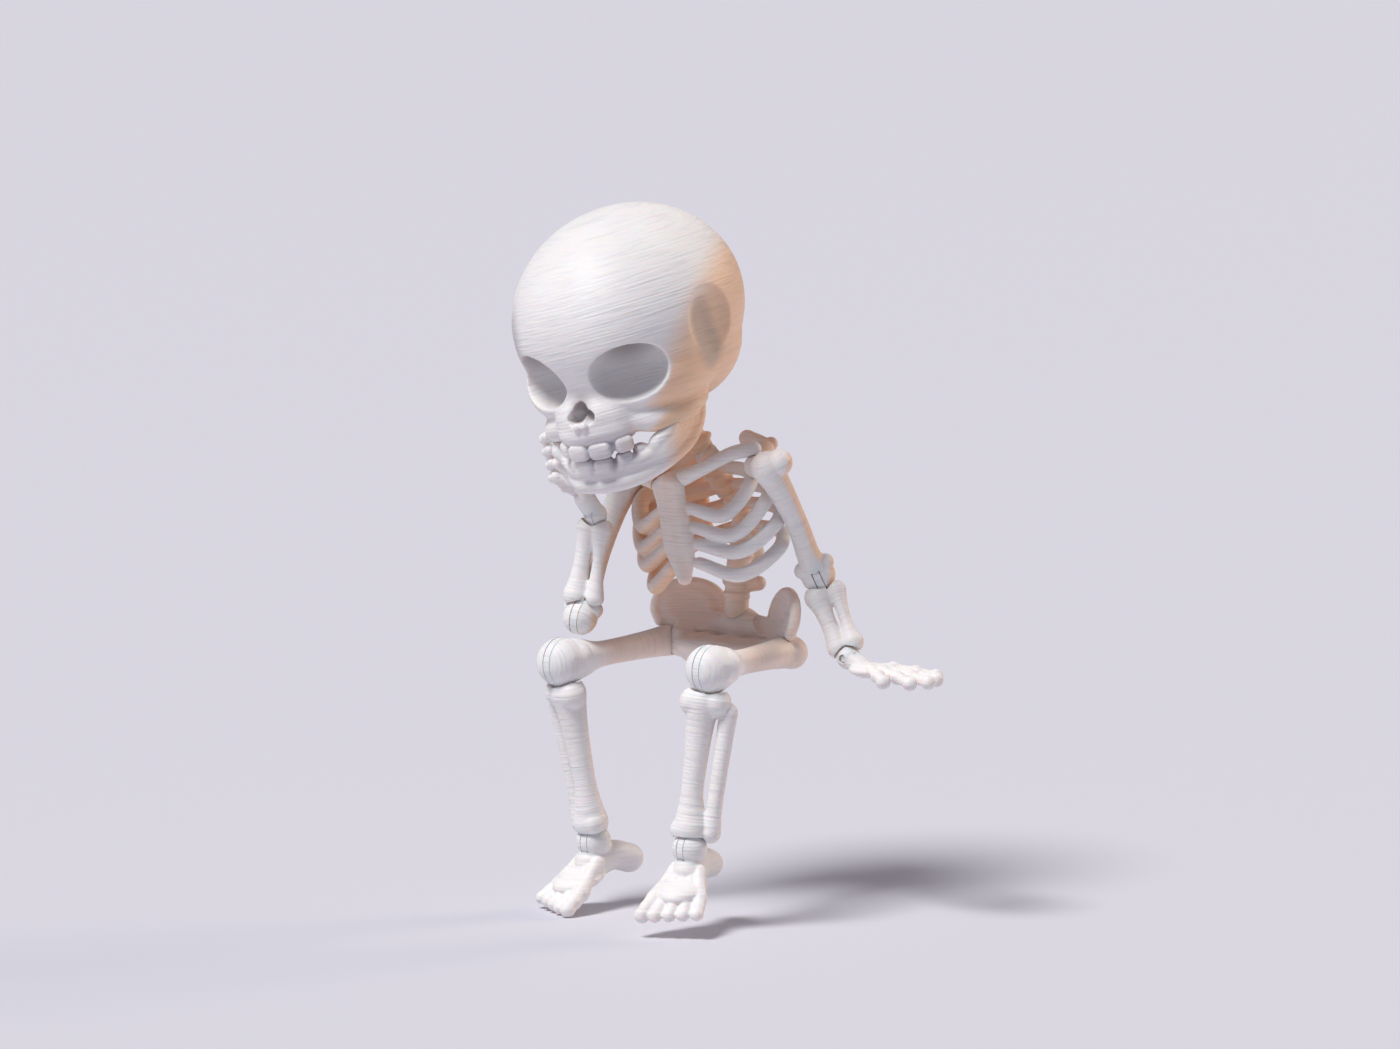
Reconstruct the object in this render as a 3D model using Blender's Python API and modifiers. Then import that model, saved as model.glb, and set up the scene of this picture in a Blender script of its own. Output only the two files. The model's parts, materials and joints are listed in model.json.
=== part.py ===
"""A seated skeleton ornament with a big skull, resting its chin on its right fist.

Metres, +Z up. The origin lies under the pelvis, on the plane that the figure sits on. The figure
looks towards -Y and its own left is +X. Bones are fused from balls and rods, and the places where
they meet are cut with a named clearance, so every bone is a separate solid.
"""

import math

import bmesh
import bpy
from mathutils import Matrix, Vector

MM = 0.001


def place(x, y, z):
    """A point given in millimetres."""
    return Vector((x, y, z)) * MM


# Fits
GAP = 0.3 * MM
PIN_FIT = 0.15 * MM
SWING_ROOM = math.radians(5)

# Hinge tongues
TONGUE = 0.9 * MM
SLOT_FIT = 0.2 * MM

# Pins, cut from round stock
LIMB_PIN = 0.8 * MM
BODY_PIN = 1.3 * MM

# Skull
HEAD_CENTRE = place(-5.5, -12.9, 45.3)
HEAD_PITCH = math.radians(14)
HEAD_ROLL = math.radians(10)
HEAD_YAW = math.radians(9)
CRANIUM_WIDTH = 28.0 * MM
CRANIUM_DEPTH = 33.0 * MM
CRANIUM_HEIGHT = 26.0 * MM
ORBIT_WIDTH = 10.6 * MM
ORBIT_HEIGHT = 7.4 * MM
ORBIT_DEPTH = 11.0 * MM
CHEEKBONE = 3.4 * MM
TEMPLE_HOLLOW = 10.6 * MM
JAW_BAR = 3.2 * MM
TOOTH_WIDTH = 2.5 * MM
TOOTH_HEIGHT = 2.2 * MM
NECK_BALL = 4.4 * MM

# Trunk
NECK_TOP = place(-4.2, -6.3, 33.6)
NECK_ROOT = place(-1.3, -3.0, 27.4)
NECK_COLUMN = 3.0 * MM
BREASTBONE_CENTRE = place(-0.4, -9.3, 18.2)
CHEST_LEAN = math.radians(3)
CHEST_ROLL = math.radians(11)
RIB = 1.95 * MM
# Half width and half depth of each rib pair, and its heights at the spine, at the side, at its
# lowest and at the breastbone, above the middle of the breastbone.
RIB_PAIRS = tuple(
    tuple(size * MM for size in pair)
    for pair in (
        (8.6, 4.3, 6.2, 3.6, 0.7, 2.3),
        (9.7, 5.4, 3.6, 1.3, -1.9, -0.2),
        (10.0, 6.2, 1.0, -1.7, -4.1, -2.3),
        (9.2, 6.6, -2.0, -5.0, -7.0, -4.7),
    )
)
STERNUM_WIDTH = 3.8 * MM
STERNUM_THICKNESS = 1.7 * MM
STERNUM_TOP = 6.0 * MM
STERNUM_FOOT = -6.2 * MM
SPINE = 3.2 * MM
WAIST = place(0.0, 2.0, 6.6)
COLLARBONE = 1.6 * MM
BLADE_THICKNESS = 1.5 * MM

# Pelvis
WING_CENTRE = place(7.4, 2.0, 6.2)
WING_LENGTH = 9.2 * MM
WING_HEIGHT = 7.0 * MM
WING_THICKNESS = 2.0 * MM
PELVIS_BAR = 1.9 * MM

# Arms
LEFT_SHOULDER = place(10.5, -5.6, 26.2)
LEFT_ELBOW = place(12.0, 2.9, 12.0)
LEFT_WRIST = place(17.8, 1.5, 2.3)
RIGHT_SHOULDER = place(-12.2, -4.4, 22.7)
RIGHT_ELBOW = place(-11.6, -14.9, 6.6)
RIGHT_WRIST = place(-10.5, -13.2, 19.4)
SHOULDER_BALL = 4.2 * MM
SOCKET_OFFSET = place(-2.7, 1.2, -0.2)
UPPER_ARM = 2.5 * MM
ELBOW_BALL = 4.4 * MM
FOREARM_BONE = 1.9 * MM
WRIST_BALL = 3.0 * MM
FINGER = 1.25 * MM

# Legs
LEFT_HIP = place(8.8, 0.2, 2.3)
RIGHT_HIP = place(-8.8, 0.2, 2.3)
LEFT_KNEE = place(11.5, -18.5, 2.7)
RIGHT_KNEE = place(-11.5, -18.9, 1.5)
LEFT_ANKLE = place(10.2, -20.9, -19.4)
RIGHT_ANKLE = place(-9.0, -15.6, -21.2)
THIGH = 3.7 * MM
KNEE_BALL = 6.2 * MM
SHIN = 3.0 * MM
FIBULA = 1.7 * MM
ANKLE_BALL = 4.4 * MM
FOOT_PITCH = math.radians(17)
FOOT_SPLAY = math.radians(13.5)
TOE = 1.6 * MM

# Fineness
VOXEL = 0.4 * MM
FINE_VOXEL = 0.3 * MM

for old in list(bpy.data.objects):
    bpy.data.objects.remove(old, do_unlink=True)

ornament = bpy.data.collections.new("skull_ornament")
bpy.context.scene.collection.children.link(ornament)


def material(name, colour, roughness, metallic=0.0):
    made = bpy.data.materials.new(name)
    made.use_nodes = True
    shader = made.node_tree.nodes["Principled BSDF"]
    shader.inputs["Base Color"].default_value = (*colour, 1.0)
    shader.inputs["Roughness"].default_value = roughness
    shader.inputs["Metallic"].default_value = metallic
    return made


BONE_COLOUR = (0.86, 0.83, 0.78)
PIN_COLOUR = (0.80, 0.77, 0.72)


# Building blocks

def frame_towards(centre, direction):
    """A frame at the centre whose Z axis runs along the direction."""
    turn = direction.to_track_quat("Z", "Y").to_matrix().to_4x4()
    return Matrix.Translation(centre) @ turn


def add_ball(clay, centre, radii, frame=Matrix()):
    """A ball, or an ellipsoid where radii is a triple, at a point of the frame."""
    if not hasattr(radii, "__len__"):
        radii = (radii, radii, radii)
    matrix = frame @ Matrix.Translation(centre) @ Matrix.Diagonal((*radii, 1.0))
    bmesh.ops.create_uvsphere(clay, u_segments=24, v_segments=14, radius=1.0, matrix=matrix)


def add_cylinder(clay, start, end, radius, sides=10):
    middle = (start + end) / 2
    bmesh.ops.create_cone(
        clay,
        cap_ends=True,
        segments=sides,
        radius1=radius,
        radius2=radius,
        depth=(end - start).length,
        matrix=frame_towards(middle, end - start),
    )


def add_prism(clay, outline, thickness, frame):
    """A flat outline in the frame's XY plane, thickened evenly to both sides of it."""
    low = [clay.verts.new(frame @ Vector((x, y, -thickness / 2))) for x, y in outline]
    high = [clay.verts.new(frame @ Vector((x, y, thickness / 2))) for x, y in outline]
    clay.faces.new(reversed(low))
    clay.faces.new(high)
    for index in range(len(outline)):
        after = (index + 1) % len(outline)
        clay.faces.new((low[index], low[after], high[after], high[index]))


def smooth_path(points, steps):
    """Points on a Catmull-Rom curve through the given ones. Each may carry a radius as a fourth number."""
    ends = [points[0] * 2 - points[1], *points, points[-1] * 2 - points[-2]]
    path = []
    for before, start, end, after in zip(ends, ends[1:], ends[2:], ends[3:]):
        for step in range(steps):
            t = step / steps
            bend = (before * 2 - start * 5 + end * 4 - after) * t * t
            twist = (start * 3 - before - end * 3 + after) * t * t * t
            path.append((start * 2 + (end - before) * t + bend + twist) / 2)
    return [*path, points[-1]]


def add_rod(clay, points, radii, steps=4):
    """A round bar with rounded ends through the points, with a radius at each."""
    if not hasattr(radii, "__len__"):
        radii = [radii] * len(points)
    marks = [Vector((*point, radius)) for point, radius in zip(points, radii)]
    path = smooth_path(marks, steps)
    curve = bpy.data.curves.new("rod", "CURVE")
    curve.dimensions = "3D"
    curve.bevel_depth = 1.0
    curve.bevel_resolution = 3
    curve.use_fill_caps = True
    spline = curve.splines.new("POLY")
    spline.points.add(len(path) - 1)
    for point, mark in zip(spline.points, path):
        point.co = (mark[0], mark[1], mark[2], 1.0)
        point.radius = mark[3]
    rod = bpy.data.objects.new("rod", curve)
    bpy.context.scene.collection.objects.link(rod)
    graph = bpy.context.evaluated_depsgraph_get()
    mesh = bpy.data.meshes.new_from_object(rod.evaluated_get(graph))
    clay.from_mesh(mesh)
    bpy.data.objects.remove(rod)
    bpy.data.meshes.remove(mesh)
    bpy.data.curves.remove(curve)
    add_ball(clay, points[0], radii[0])
    add_ball(clay, points[-1], radii[-1])


def new_piece(name, clay):
    bmesh.ops.recalc_face_normals(clay, faces=clay.faces)
    mesh = bpy.data.meshes.new(name)
    clay.to_mesh(mesh)
    clay.free()
    piece = bpy.data.objects.new(name, mesh)
    ornament.objects.link(piece)
    return piece


def settle(piece):
    """Makes what the modifiers do to the piece its own mesh."""
    graph = bpy.context.evaluated_depsgraph_get()
    mesh = bpy.data.meshes.new_from_object(piece.evaluated_get(graph))
    piece.modifiers.clear()
    piece.data = mesh


def fuse(piece, voxel, rounds):
    """One skin round all that the piece holds, with its creases softened."""
    remesh = piece.modifiers.new("fuse", "REMESH")
    remesh.mode = "VOXEL"
    remesh.voxel_size = voxel
    soften = piece.modifiers.new("soften", "SMOOTH")
    soften.factor = 0.5
    soften.iterations = rounds
    settle(piece)


def thin(piece, triangles):
    """Fewer faces, where the shape allows."""
    decimate = piece.modifiers.new("thin", "DECIMATE")
    decimate.ratio = min(1.0, triangles / (2 * len(piece.data.polygons)))
    settle(piece)


def boolean(piece, other, operation):
    change = piece.modifiers.new(operation.lower(), "BOOLEAN")
    change.operation = operation
    change.solver = "EXACT"
    change.object = other
    settle(piece)


def carve(piece, clay):
    """Cuts the shapes in clay, which don't touch each other, out of the piece."""
    cutter = new_piece("cutter", clay)
    boolean(piece, cutter, "DIFFERENCE")
    bpy.data.objects.remove(cutter)


def attach(piece, clay):
    addition = new_piece("addition", clay)
    boolean(piece, addition, "UNION")
    bpy.data.objects.remove(addition)


def keep_clear(piece, neighbour, gap=GAP):
    """Cuts the piece where it comes nearer to its neighbour than the gap."""
    around = bpy.data.objects.new("around", neighbour.data.copy())
    ornament.objects.link(around)
    grow = around.modifiers.new("grow", "DISPLACE")
    grow.mid_level = 0.0
    grow.strength = gap
    remesh = around.modifiers.new("skin", "REMESH")
    remesh.mode = "VOXEL"
    remesh.voxel_size = VOXEL
    settle(around)
    boolean(piece, around, "DIFFERENCE")
    bpy.data.objects.remove(around)


def clean(piece):
    """Rounds the edges of the cuts, and drops crumbs that they left."""
    fuse(piece, FINE_VOXEL, 1)
    mesh = bmesh.new()
    mesh.from_mesh(piece.data)
    left = set(mesh.verts)
    groups = []
    while left:
        edge = [left.pop()]
        group = list(edge)
        while edge:
            vert = edge.pop()
            for link in vert.link_edges:
                other = link.other_vert(vert)
                if other in left:
                    left.remove(other)
                    edge.append(other)
                    group.append(other)
        groups.append(group)
    groups.sort(key=len)
    for group in groups[:-1]:
        bmesh.ops.delete(mesh, geom=group, context="VERTS")
    mesh.to_mesh(piece.data)
    mesh.free()


def sphere_cutter(centre, radius):
    clay = bmesh.new()
    bmesh.ops.create_uvsphere(
        clay, u_segments=20, v_segments=12, radius=radius, matrix=Matrix.Translation(centre)
    )
    return clay


# Hinges: a ball with a slot, and a cup with a tongue that a cross pin holds in the slot

def hinge_frame(centre, axis, towards):
    """X runs from the centre towards the cup, and Z along the hinge axis."""
    z = axis.normalized()
    x = (towards - z * towards.dot(z)).normalized()
    y = z.cross(x)
    turn = Matrix((x, y, z)).transposed().to_4x4()
    return Matrix.Translation(centre) @ turn


def tongue_outline(radius, length):
    """A bar from the centre along X, with a round end round the centre."""
    back = [
        (radius * math.cos(turn), radius * math.sin(turn))
        for turn in (math.radians(90 + 30 * step) for step in range(7))
    ]
    return [*back, (length, -radius), (length, radius)]


def around(turn, distance):
    return Vector((distance * math.cos(turn), distance * math.sin(turn)))


def slot_outline(radius, reach, start, end):
    """The room that the tongue needs between two turns about the centre, for the middle of its root."""
    quarter = math.radians(90)
    outer = [around(start + (end - start) * step / 4, 1.3 * reach) for step in range(5)]
    back_end = start + 3 * quarter
    back_start = end + quarter
    back = [around(back_start + (back_end - back_start) * step / 6, radius) for step in range(7)]
    first = around(start, reach) + around(start - quarter, radius)
    last = around(end, reach) + around(end + quarter, radius)
    return [first, *outer, last, *back]


def hinge(ball_piece, cup_piece, centre, axis, towards, ball, swing, pin_name):
    """Joins the two pieces. Towards points from the ball to the cup, and swing is how far the cup
    turns about the axis from there, lowest and highest."""
    radius = ball / 2
    frame = hinge_frame(centre, axis, towards)
    thickness = TONGUE
    tongue = LIMB_PIN / 2 + PIN_FIT + 0.45 * MM
    carve(cup_piece, sphere_cutter(centre, radius + GAP))
    clay = bmesh.new()
    add_prism(clay, tongue_outline(tongue, radius + GAP + 0.5 * MM), thickness, frame)
    attach(cup_piece, clay)
    clay = bmesh.new()
    start = swing[0] - SWING_ROOM
    end = swing[1] + SWING_ROOM
    outline = slot_outline(tongue + SLOT_FIT, radius + GAP, start, end)
    add_prism(clay, outline, thickness + 2 * SLOT_FIT, frame)
    carve(ball_piece, clay)
    pin_axis = axis.normalized()
    blind_end = centre + pin_axis * (radius - 0.7 * MM)
    open_end = centre - pin_axis * (radius + 2.0 * MM)
    for piece in (ball_piece, cup_piece):
        clay = bmesh.new()
        add_cylinder(clay, open_end, blind_end, LIMB_PIN / 2 + PIN_FIT)
        carve(piece, clay)
    clay = bmesh.new()
    add_cylinder(
        clay,
        centre - pin_axis * (radius - 0.4 * MM),
        blind_end - pin_axis * PIN_FIT,
        LIMB_PIN / 2,
    )
    new_piece(pin_name, clay)


def peg(pieces, start, end, thickness, name):
    """A round pin between two points, and its hole in both pieces."""
    along = (end - start).normalized()
    for piece in pieces:
        clay = bmesh.new()
        add_cylinder(clay, start - along * PIN_FIT, end + along * PIN_FIT, thickness / 2 + PIN_FIT)
        carve(piece, clay)
    clay = bmesh.new()
    add_cylinder(clay, start, end, thickness / 2)
    new_piece(name, clay)


# Skull

HEAD_FRAME = (
    Matrix.Translation(HEAD_CENTRE)
    @ Matrix.Rotation(HEAD_YAW, 4, "Z")
    @ Matrix.Rotation(-HEAD_ROLL, 4, "Y")
    @ Matrix.Rotation(HEAD_PITCH, 4, "X")
)


def in_head(x, y, z):
    """A point of the head's own frame, in millimetres from the middle of the cranium."""
    return HEAD_FRAME @ place(x, y, z)


def add_teeth(clay, width, height, spots):
    for x, y in spots:
        turn = Matrix.Rotation(math.atan2(x, -y) * 1.6, 4, "Z")
        frame = HEAD_FRAME @ Matrix.Translation(place(x, y, height)) @ turn
        add_ball(clay, place(0, 0, 0), (width / 2, 0.8 * MM, TOOTH_HEIGHT / 2), frame)


def make_cranium():
    clay = bmesh.new()
    half = (CRANIUM_WIDTH / 2, CRANIUM_DEPTH / 2, CRANIUM_HEIGHT / 2)
    add_ball(clay, place(0, 0, 0), half, HEAD_FRAME)
    add_ball(clay, place(0, -11.6, -4.4), (9.4 * MM, 5.4 * MM, 7.4 * MM), HEAD_FRAME)
    add_ball(clay, place(0, -12.8, -9.4), (5.8 * MM, 4.8 * MM, 4.4 * MM), HEAD_FRAME)
    add_ball(clay, place(0, 2.0, -9.5), (6.5 * MM, 8.0 * MM, 4.6 * MM), HEAD_FRAME)
    cheek = CHEEKBONE / 2
    for side in (-1, 1):
        add_rod(
            clay,
            [
                in_head(side * 3.4, -15.4, -9.8),
                in_head(side * 8.0, -13.6, -9.0),
                in_head(side * 11.2, -8.4, -7.2),
                in_head(side * 12.0, -1.5, -5.4),
            ],
            [cheek, cheek * 1.1, cheek * 0.85, cheek * 0.8],
        )
    gums = ((-5.2, -12.6), (-3.2, -15.8), (0, -16.9), (3.2, -15.8), (5.2, -12.6))
    add_rod(clay, [in_head(x, y, -11.8) for x, y in gums], 1.3 * MM)
    piece = new_piece("cranium", clay)
    fuse(piece, VOXEL, 4)
    hollows = bmesh.new()
    orbit = (ORBIT_WIDTH / 2, ORBIT_DEPTH / 2, ORBIT_HEIGHT / 2)
    for side in (-1, 1):
        turn = Matrix.Rotation(side * math.radians(14), 4, "Z")
        frame = HEAD_FRAME @ Matrix.Translation(place(side * 6.9, -15.0, -3.0)) @ turn
        add_ball(hollows, place(0, 0, 0), orbit, frame)
        temple = (2.4 * MM, TEMPLE_HOLLOW / 2, TEMPLE_HOLLOW / 2)
        add_ball(hollows, place(side * 15.0, -3.9, -0.8), temple, HEAD_FRAME)
    carve(piece, hollows)
    nose = bmesh.new()
    add_ball(nose, place(0, -17.8, -6.4), (1.3 * MM, 2.6 * MM, 1.6 * MM), HEAD_FRAME)
    add_ball(nose, place(0, -17.8, -7.9), (1.9 * MM, 2.6 * MM, 0.9 * MM), HEAD_FRAME)
    cutter = new_piece("nose", nose)
    fuse(cutter, FINE_VOXEL, 2)
    boolean(piece, cutter, "DIFFERENCE")
    bpy.data.objects.remove(cutter)
    teeth = bmesh.new()
    add_teeth(teeth, TOOTH_WIDTH, -12.2, ((-3.9, -15.4), (-1.35, -17.0), (1.35, -17.0), (3.9, -15.4)))
    attach(piece, teeth)
    fuse(piece, VOXEL, 2)
    return piece


def make_jaw():
    clay = bmesh.new()
    bar = JAW_BAR / 2
    for side in (-1, 1):
        chin_to_hinge = [
            in_head(0, -16.0, -16.9),
            in_head(side * 4.0, -15.0, -16.9),
            in_head(side * 6.9, -11.8, -16.6),
            in_head(side * 8.1, -6.6, -15.0),
            in_head(side * 8.5, -4.2, -11.2),
            in_head(side * 8.5, -3.4, -8.0),
        ]
        add_rod(clay, chin_to_hinge, [bar * 1.1, bar * 1.1, bar, bar, bar * 0.8, bar * 0.75])
        front_edge = [
            in_head(side * 7.6, -9.4, -15.6),
            in_head(side * 8.2, -6.8, -12.2),
            in_head(side * 8.4, -5.4, -8.6),
        ]
        add_rod(clay, front_edge, [bar * 0.9, bar * 0.7, bar * 0.6])
        ridge = [
            in_head(0, -16.0, -15.5),
            in_head(side * 4.0, -14.9, -15.4),
            in_head(side * 6.8, -12.2, -14.8),
            in_head(side * 7.8, -8.8, -13.7),
        ]
        add_rod(clay, ridge, bar * 0.75)
    add_teeth(clay, TOOTH_WIDTH * 0.92, -14.5, ((-3.7, -15.4), (-1.25, -16.8), (1.25, -16.8), (3.7, -15.4)))
    piece = new_piece("jaw", clay)
    fuse(piece, VOXEL, 2)
    return piece


# Trunk

CHEST_FRAME = (
    Matrix.Translation(BREASTBONE_CENTRE)
    @ Matrix.Rotation(-CHEST_ROLL, 4, "Y")
    @ Matrix.Rotation(CHEST_LEAN, 4, "X")
)


def in_chest(x, y, z):
    """A point of the chest's own frame, in metres from the middle of the breastbone."""
    return CHEST_FRAME @ Vector((x, y, z))


def rib_points(side, half_width, half_depth, at_spine, at_side, lowest, at_front):
    """From the spine round the side to the breastbone."""
    points = []
    marks = (
        (8, at_spine),
        (46, (at_spine + at_side) / 2 + 0.4 * MM),
        (88, at_side),
        (136, lowest),
        (174, at_front),
    )
    for degrees, height in marks:
        turn = math.radians(degrees)
        across = side * half_width * math.sin(turn) ** 0.85
        points.append(in_chest(across, half_depth * (1 + math.cos(turn)), height))
    return points


def spine_points():
    """Where each rib pair meets the spine, from the top down."""
    return [in_chest(0, 2 * pair[1], pair[2]) for pair in RIB_PAIRS]


def make_rib_cage():
    clay = bmesh.new()
    for pair in RIB_PAIRS:
        for side in (-1, 1):
            add_rod(clay, rib_points(side, *pair), RIB / 2)
    edge = STERNUM_THICKNESS / 2
    for offset in (-1, 0, 1):
        across = offset * (STERNUM_WIDTH / 2 - edge)
        top = in_chest(across, -0.5 * MM, STERNUM_TOP)
        foot = in_chest(across * 0.6, -0.5 * MM, STERNUM_FOOT + abs(offset) * MM)
        add_rod(clay, [top, foot], edge)
    column = spine_points()
    below = column[-1] + (column[-1] - column[-2]) * 0.5
    add_rod(clay, [NECK_ROOT - (NECK_TOP - NECK_ROOT) * 0.1, *column, below], SPINE / 2)
    piece = new_piece("rib_cage", clay)
    fuse(piece, VOXEL, 2)
    return piece


def make_lumbar():
    clay = bmesh.new()
    top = spine_points()[-1]
    bottom = WAIST
    middle = bottom.lerp(top, 0.5) + place(0, -0.6, 0)
    add_rod(clay, [bottom, middle, top], SPINE / 2 * 1.05)
    level = bottom.lerp(top, 0.3)
    for side in (-1, 1):
        add_rod(clay, [level, level + place(side * 3.1, 1.2, 0.4)], [1.2 * MM, 1.05 * MM])
    piece = new_piece("lumbar_column", clay)
    fuse(piece, FINE_VOXEL, 1)
    return piece


def make_neck():
    clay = bmesh.new()
    add_rod(clay, [NECK_ROOT, NECK_ROOT.lerp(NECK_TOP, 0.5), NECK_TOP], NECK_COLUMN / 2 * 0.85)
    half = NECK_COLUMN * 0.62
    for share in (0.15, 0.42, 0.68):
        frame = frame_towards(NECK_ROOT.lerp(NECK_TOP, share), NECK_TOP - NECK_ROOT)
        add_ball(clay, place(0, 0, 0), (half, half, 0.75 * MM), frame)
    add_ball(clay, NECK_TOP, NECK_BALL / 2)
    piece = new_piece("neck_column", clay)
    fuse(piece, FINE_VOXEL, 1)
    return piece


def make_collarbone(side, name):
    clay = bmesh.new()
    inner = in_chest(side * 0.5 * STERNUM_WIDTH, -0.2 * MM, STERNUM_TOP)
    outer = in_chest(side * 9.6 * MM, 5.4 * MM, 8.0 * MM)
    bow = inner.lerp(outer, 0.45) + in_chest(0, -1.1 * MM, 0.2 * MM) - in_chest(0, 0, 0)
    radius = COLLARBONE / 2
    add_rod(clay, [inner, bow, outer], [radius * 1.15, radius, radius * 1.15])
    piece = new_piece(name, clay)
    fuse(piece, FINE_VOXEL, 1)
    return piece


def make_blade(side, shoulder, name):
    """A flat triangle behind the ribs, with the arm's socket at its outer corner."""
    clay = bmesh.new()
    radius = BLADE_THICKNESS / 2
    corner = in_chest(side * 4.1 * MM, 11.6 * MM, 9.0 * MM)
    outer = in_chest(side * 10.0 * MM, 10.0 * MM, 7.4 * MM)
    tip = in_chest(side * 6.7 * MM, 14.2 * MM, -2.4 * MM)
    rows = 9
    for index in range(rows):
        share = index / (rows - 1)
        add_rod(clay, [corner.lerp(tip, share), outer.lerp(tip, share)], radius)
    socket = shoulder + SOCKET_OFFSET * Vector((side, 1, 1))
    add_rod(clay, [corner, outer, socket], [radius * 1.25, radius * 1.25, 1.5 * MM])
    piece = new_piece(name, clay)
    fuse(piece, VOXEL, 2)
    return piece


# Pelvis

def make_pelvis():
    clay = bmesh.new()
    bar = PELVIS_BAR / 2
    add_ball(clay, WAIST + place(0, 0.8, -2.4), (3.4 * MM, 2.2 * MM, 2.8 * MM))
    tail = place(0, 0.2, 1.0)
    add_rod(clay, [WAIST + place(0, 1.4, -2.6), place(0, 2.6, 2.0), tail], [2.2 * MM, 1.7 * MM, 1.5 * MM])
    for side, hip in ((1, LEFT_HIP), (-1, RIGHT_HIP)):
        centre = Vector((side * WING_CENTRE.x, WING_CENTRE.y, WING_CENTRE.z))
        facing = Matrix.Rotation(-side * math.radians(36), 4, "Z") @ Matrix.Rotation(math.radians(-12), 4, "X")
        frame = Matrix.Translation(centre) @ facing
        add_ball(clay, place(0, 0, 0), (WING_LENGTH / 2, WING_THICKNESS / 2, WING_HEIGHT / 2), frame)
        seat = hip - place(side * 1.6, 0, 0)
        add_rod(clay, [WAIST + place(side * 2.0, 0.8, -2.2), centre - place(0, 0, 2.0), seat], [1.8 * MM, 1.5 * MM, 2.1 * MM])
        add_rod(clay, [seat, place(side * 4.2, -2.8, 2.4), place(0, -3.5, 2.6)], [bar * 1.4, bar, bar * 1.1])
        pad = place(side * 4.6, -1.0, 1.3)
        add_rod(clay, [seat, pad, place(side * 2.6, -3.2, 2.4)], [bar * 1.5, bar * 1.6, bar])
    piece = new_piece("pelvis", clay)
    fuse(piece, VOXEL, 2)
    hollows = bmesh.new()
    for side in (-1, 1):
        facing = Matrix.Rotation(-side * math.radians(36), 4, "Z") @ Matrix.Rotation(math.radians(-12), 4, "X")
        centre = Vector((side * WING_CENTRE.x, WING_CENTRE.y, WING_CENTRE.z))
        frame = Matrix.Translation(centre) @ facing
        add_ball(hollows, place(0, -1.5, 0.5), (3.4 * MM, 1.1 * MM, 2.5 * MM), frame)
    carve(piece, hollows)
    fuse(piece, VOXEL, 1)
    return piece


def flatten_seat(piece):
    """Cuts the underside off at the plane that the figure sits on."""
    ground = bmesh.new()
    size = 60 * MM
    bmesh.ops.create_cube(ground, size=size, matrix=Matrix.Translation((0, 0, -size / 2)))
    carve(piece, ground)


# Limbs

def make_thigh(name, hip, knee):
    clay = bmesh.new()
    outward = math.copysign(1.0, hip.x)
    along = (knee - hip).normalized()
    radius = THIGH / 2
    add_rod(
        clay,
        [hip, hip.lerp(knee, 0.3), hip.lerp(knee, 0.72), knee - along * KNEE_BALL * 0.3],
        [radius * 1.1, radius * 0.96, radius * 0.92, radius * 1.4],
    )
    add_ball(clay, hip + place(outward * 0.5, 0.8, -0.1), 2.1 * MM)
    add_ball(clay, knee, KNEE_BALL / 2)
    piece = new_piece(name, clay)
    fuse(piece, VOXEL, 2)
    return piece


def make_shin(name, knee, ankle):
    clay = bmesh.new()
    outward = math.copysign(1.0, knee.x)
    along = (ankle - knee).normalized()
    across = Vector((outward * 0.94, 0.34, 0))
    plateau = knee + along * (KNEE_BALL / 2 + 0.9 * MM)
    foot_end = ankle - along * (ANKLE_BALL / 2 + 0.3 * MM)
    radius = SHIN / 2
    add_rod(
        clay,
        [
            plateau - across * 0.4 * MM,
            plateau.lerp(foot_end, 0.25) - across * 0.5 * MM,
            plateau.lerp(foot_end, 0.7) - across * 0.4 * MM,
            foot_end,
        ],
        [radius * 1.5, radius * 1.05, radius * 0.95, radius * 1.35],
    )
    for side in (-1, 1):
        add_ball(clay, plateau + across * side * 1.4 * MM, 1.9 * MM)
    head = plateau + across * 2.7 * MM + place(0, 0.3, -1.2)
    ankle_bone = foot_end + across * 2.2 * MM + place(0, 0.2, -0.2)
    fibula = FIBULA / 2
    add_rod(
        clay,
        [head, head.lerp(ankle_bone, 0.35) + across * 0.3 * MM, head.lerp(ankle_bone, 0.75) + across * 0.2 * MM, ankle_bone],
        [fibula * 1.3, fibula, fibula, fibula * 1.45],
    )
    piece = new_piece(name, clay)
    fuse(piece, VOXEL, 2)
    return piece


def make_foot(name, ankle):
    outward = math.copysign(1.0, ankle.x)
    frame = (
        Matrix.Translation(ankle)
        @ Matrix.Rotation(outward * FOOT_SPLAY, 4, "Z")
        @ Matrix.Rotation(FOOT_PITCH, 4, "X")
    )
    clay = bmesh.new()
    add_ball(clay, ankle, ANKLE_BALL / 2)
    add_rod(
        clay,
        [frame @ place(0, 4.6, -4.3), frame @ place(0, 2.0, -2.8), frame @ place(0, -1.2, -2.6)],
        [1.8 * MM, 1.9 * MM, 2.0 * MM],
    )
    toe = TOE / 2
    for index in range(5):
        spread = (index - 2) * 1.0
        inner = -outward * spread
        reach = 9.2 - 0.45 * index - (0.4 if index == 0 else 0)
        root = frame @ place(-inner * 0.55, -1.4, -3.0)
        knuckle = frame @ place(-inner * 1.4, -reach * 0.62, -4.4)
        bend = frame @ place(-inner * 1.72, -reach * 0.84, -4.7)
        tip = frame @ place(-inner * 1.9, -reach, -5.2)
        big = 1.25 if index == 0 else 1.0
        add_rod(clay, [root, knuckle, bend, tip], [toe * 1.1, toe * big, toe * 0.85 * big, toe * 0.9 * big])
    piece = new_piece(name, clay)
    fuse(piece, FINE_VOXEL, 2)
    return piece


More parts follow.
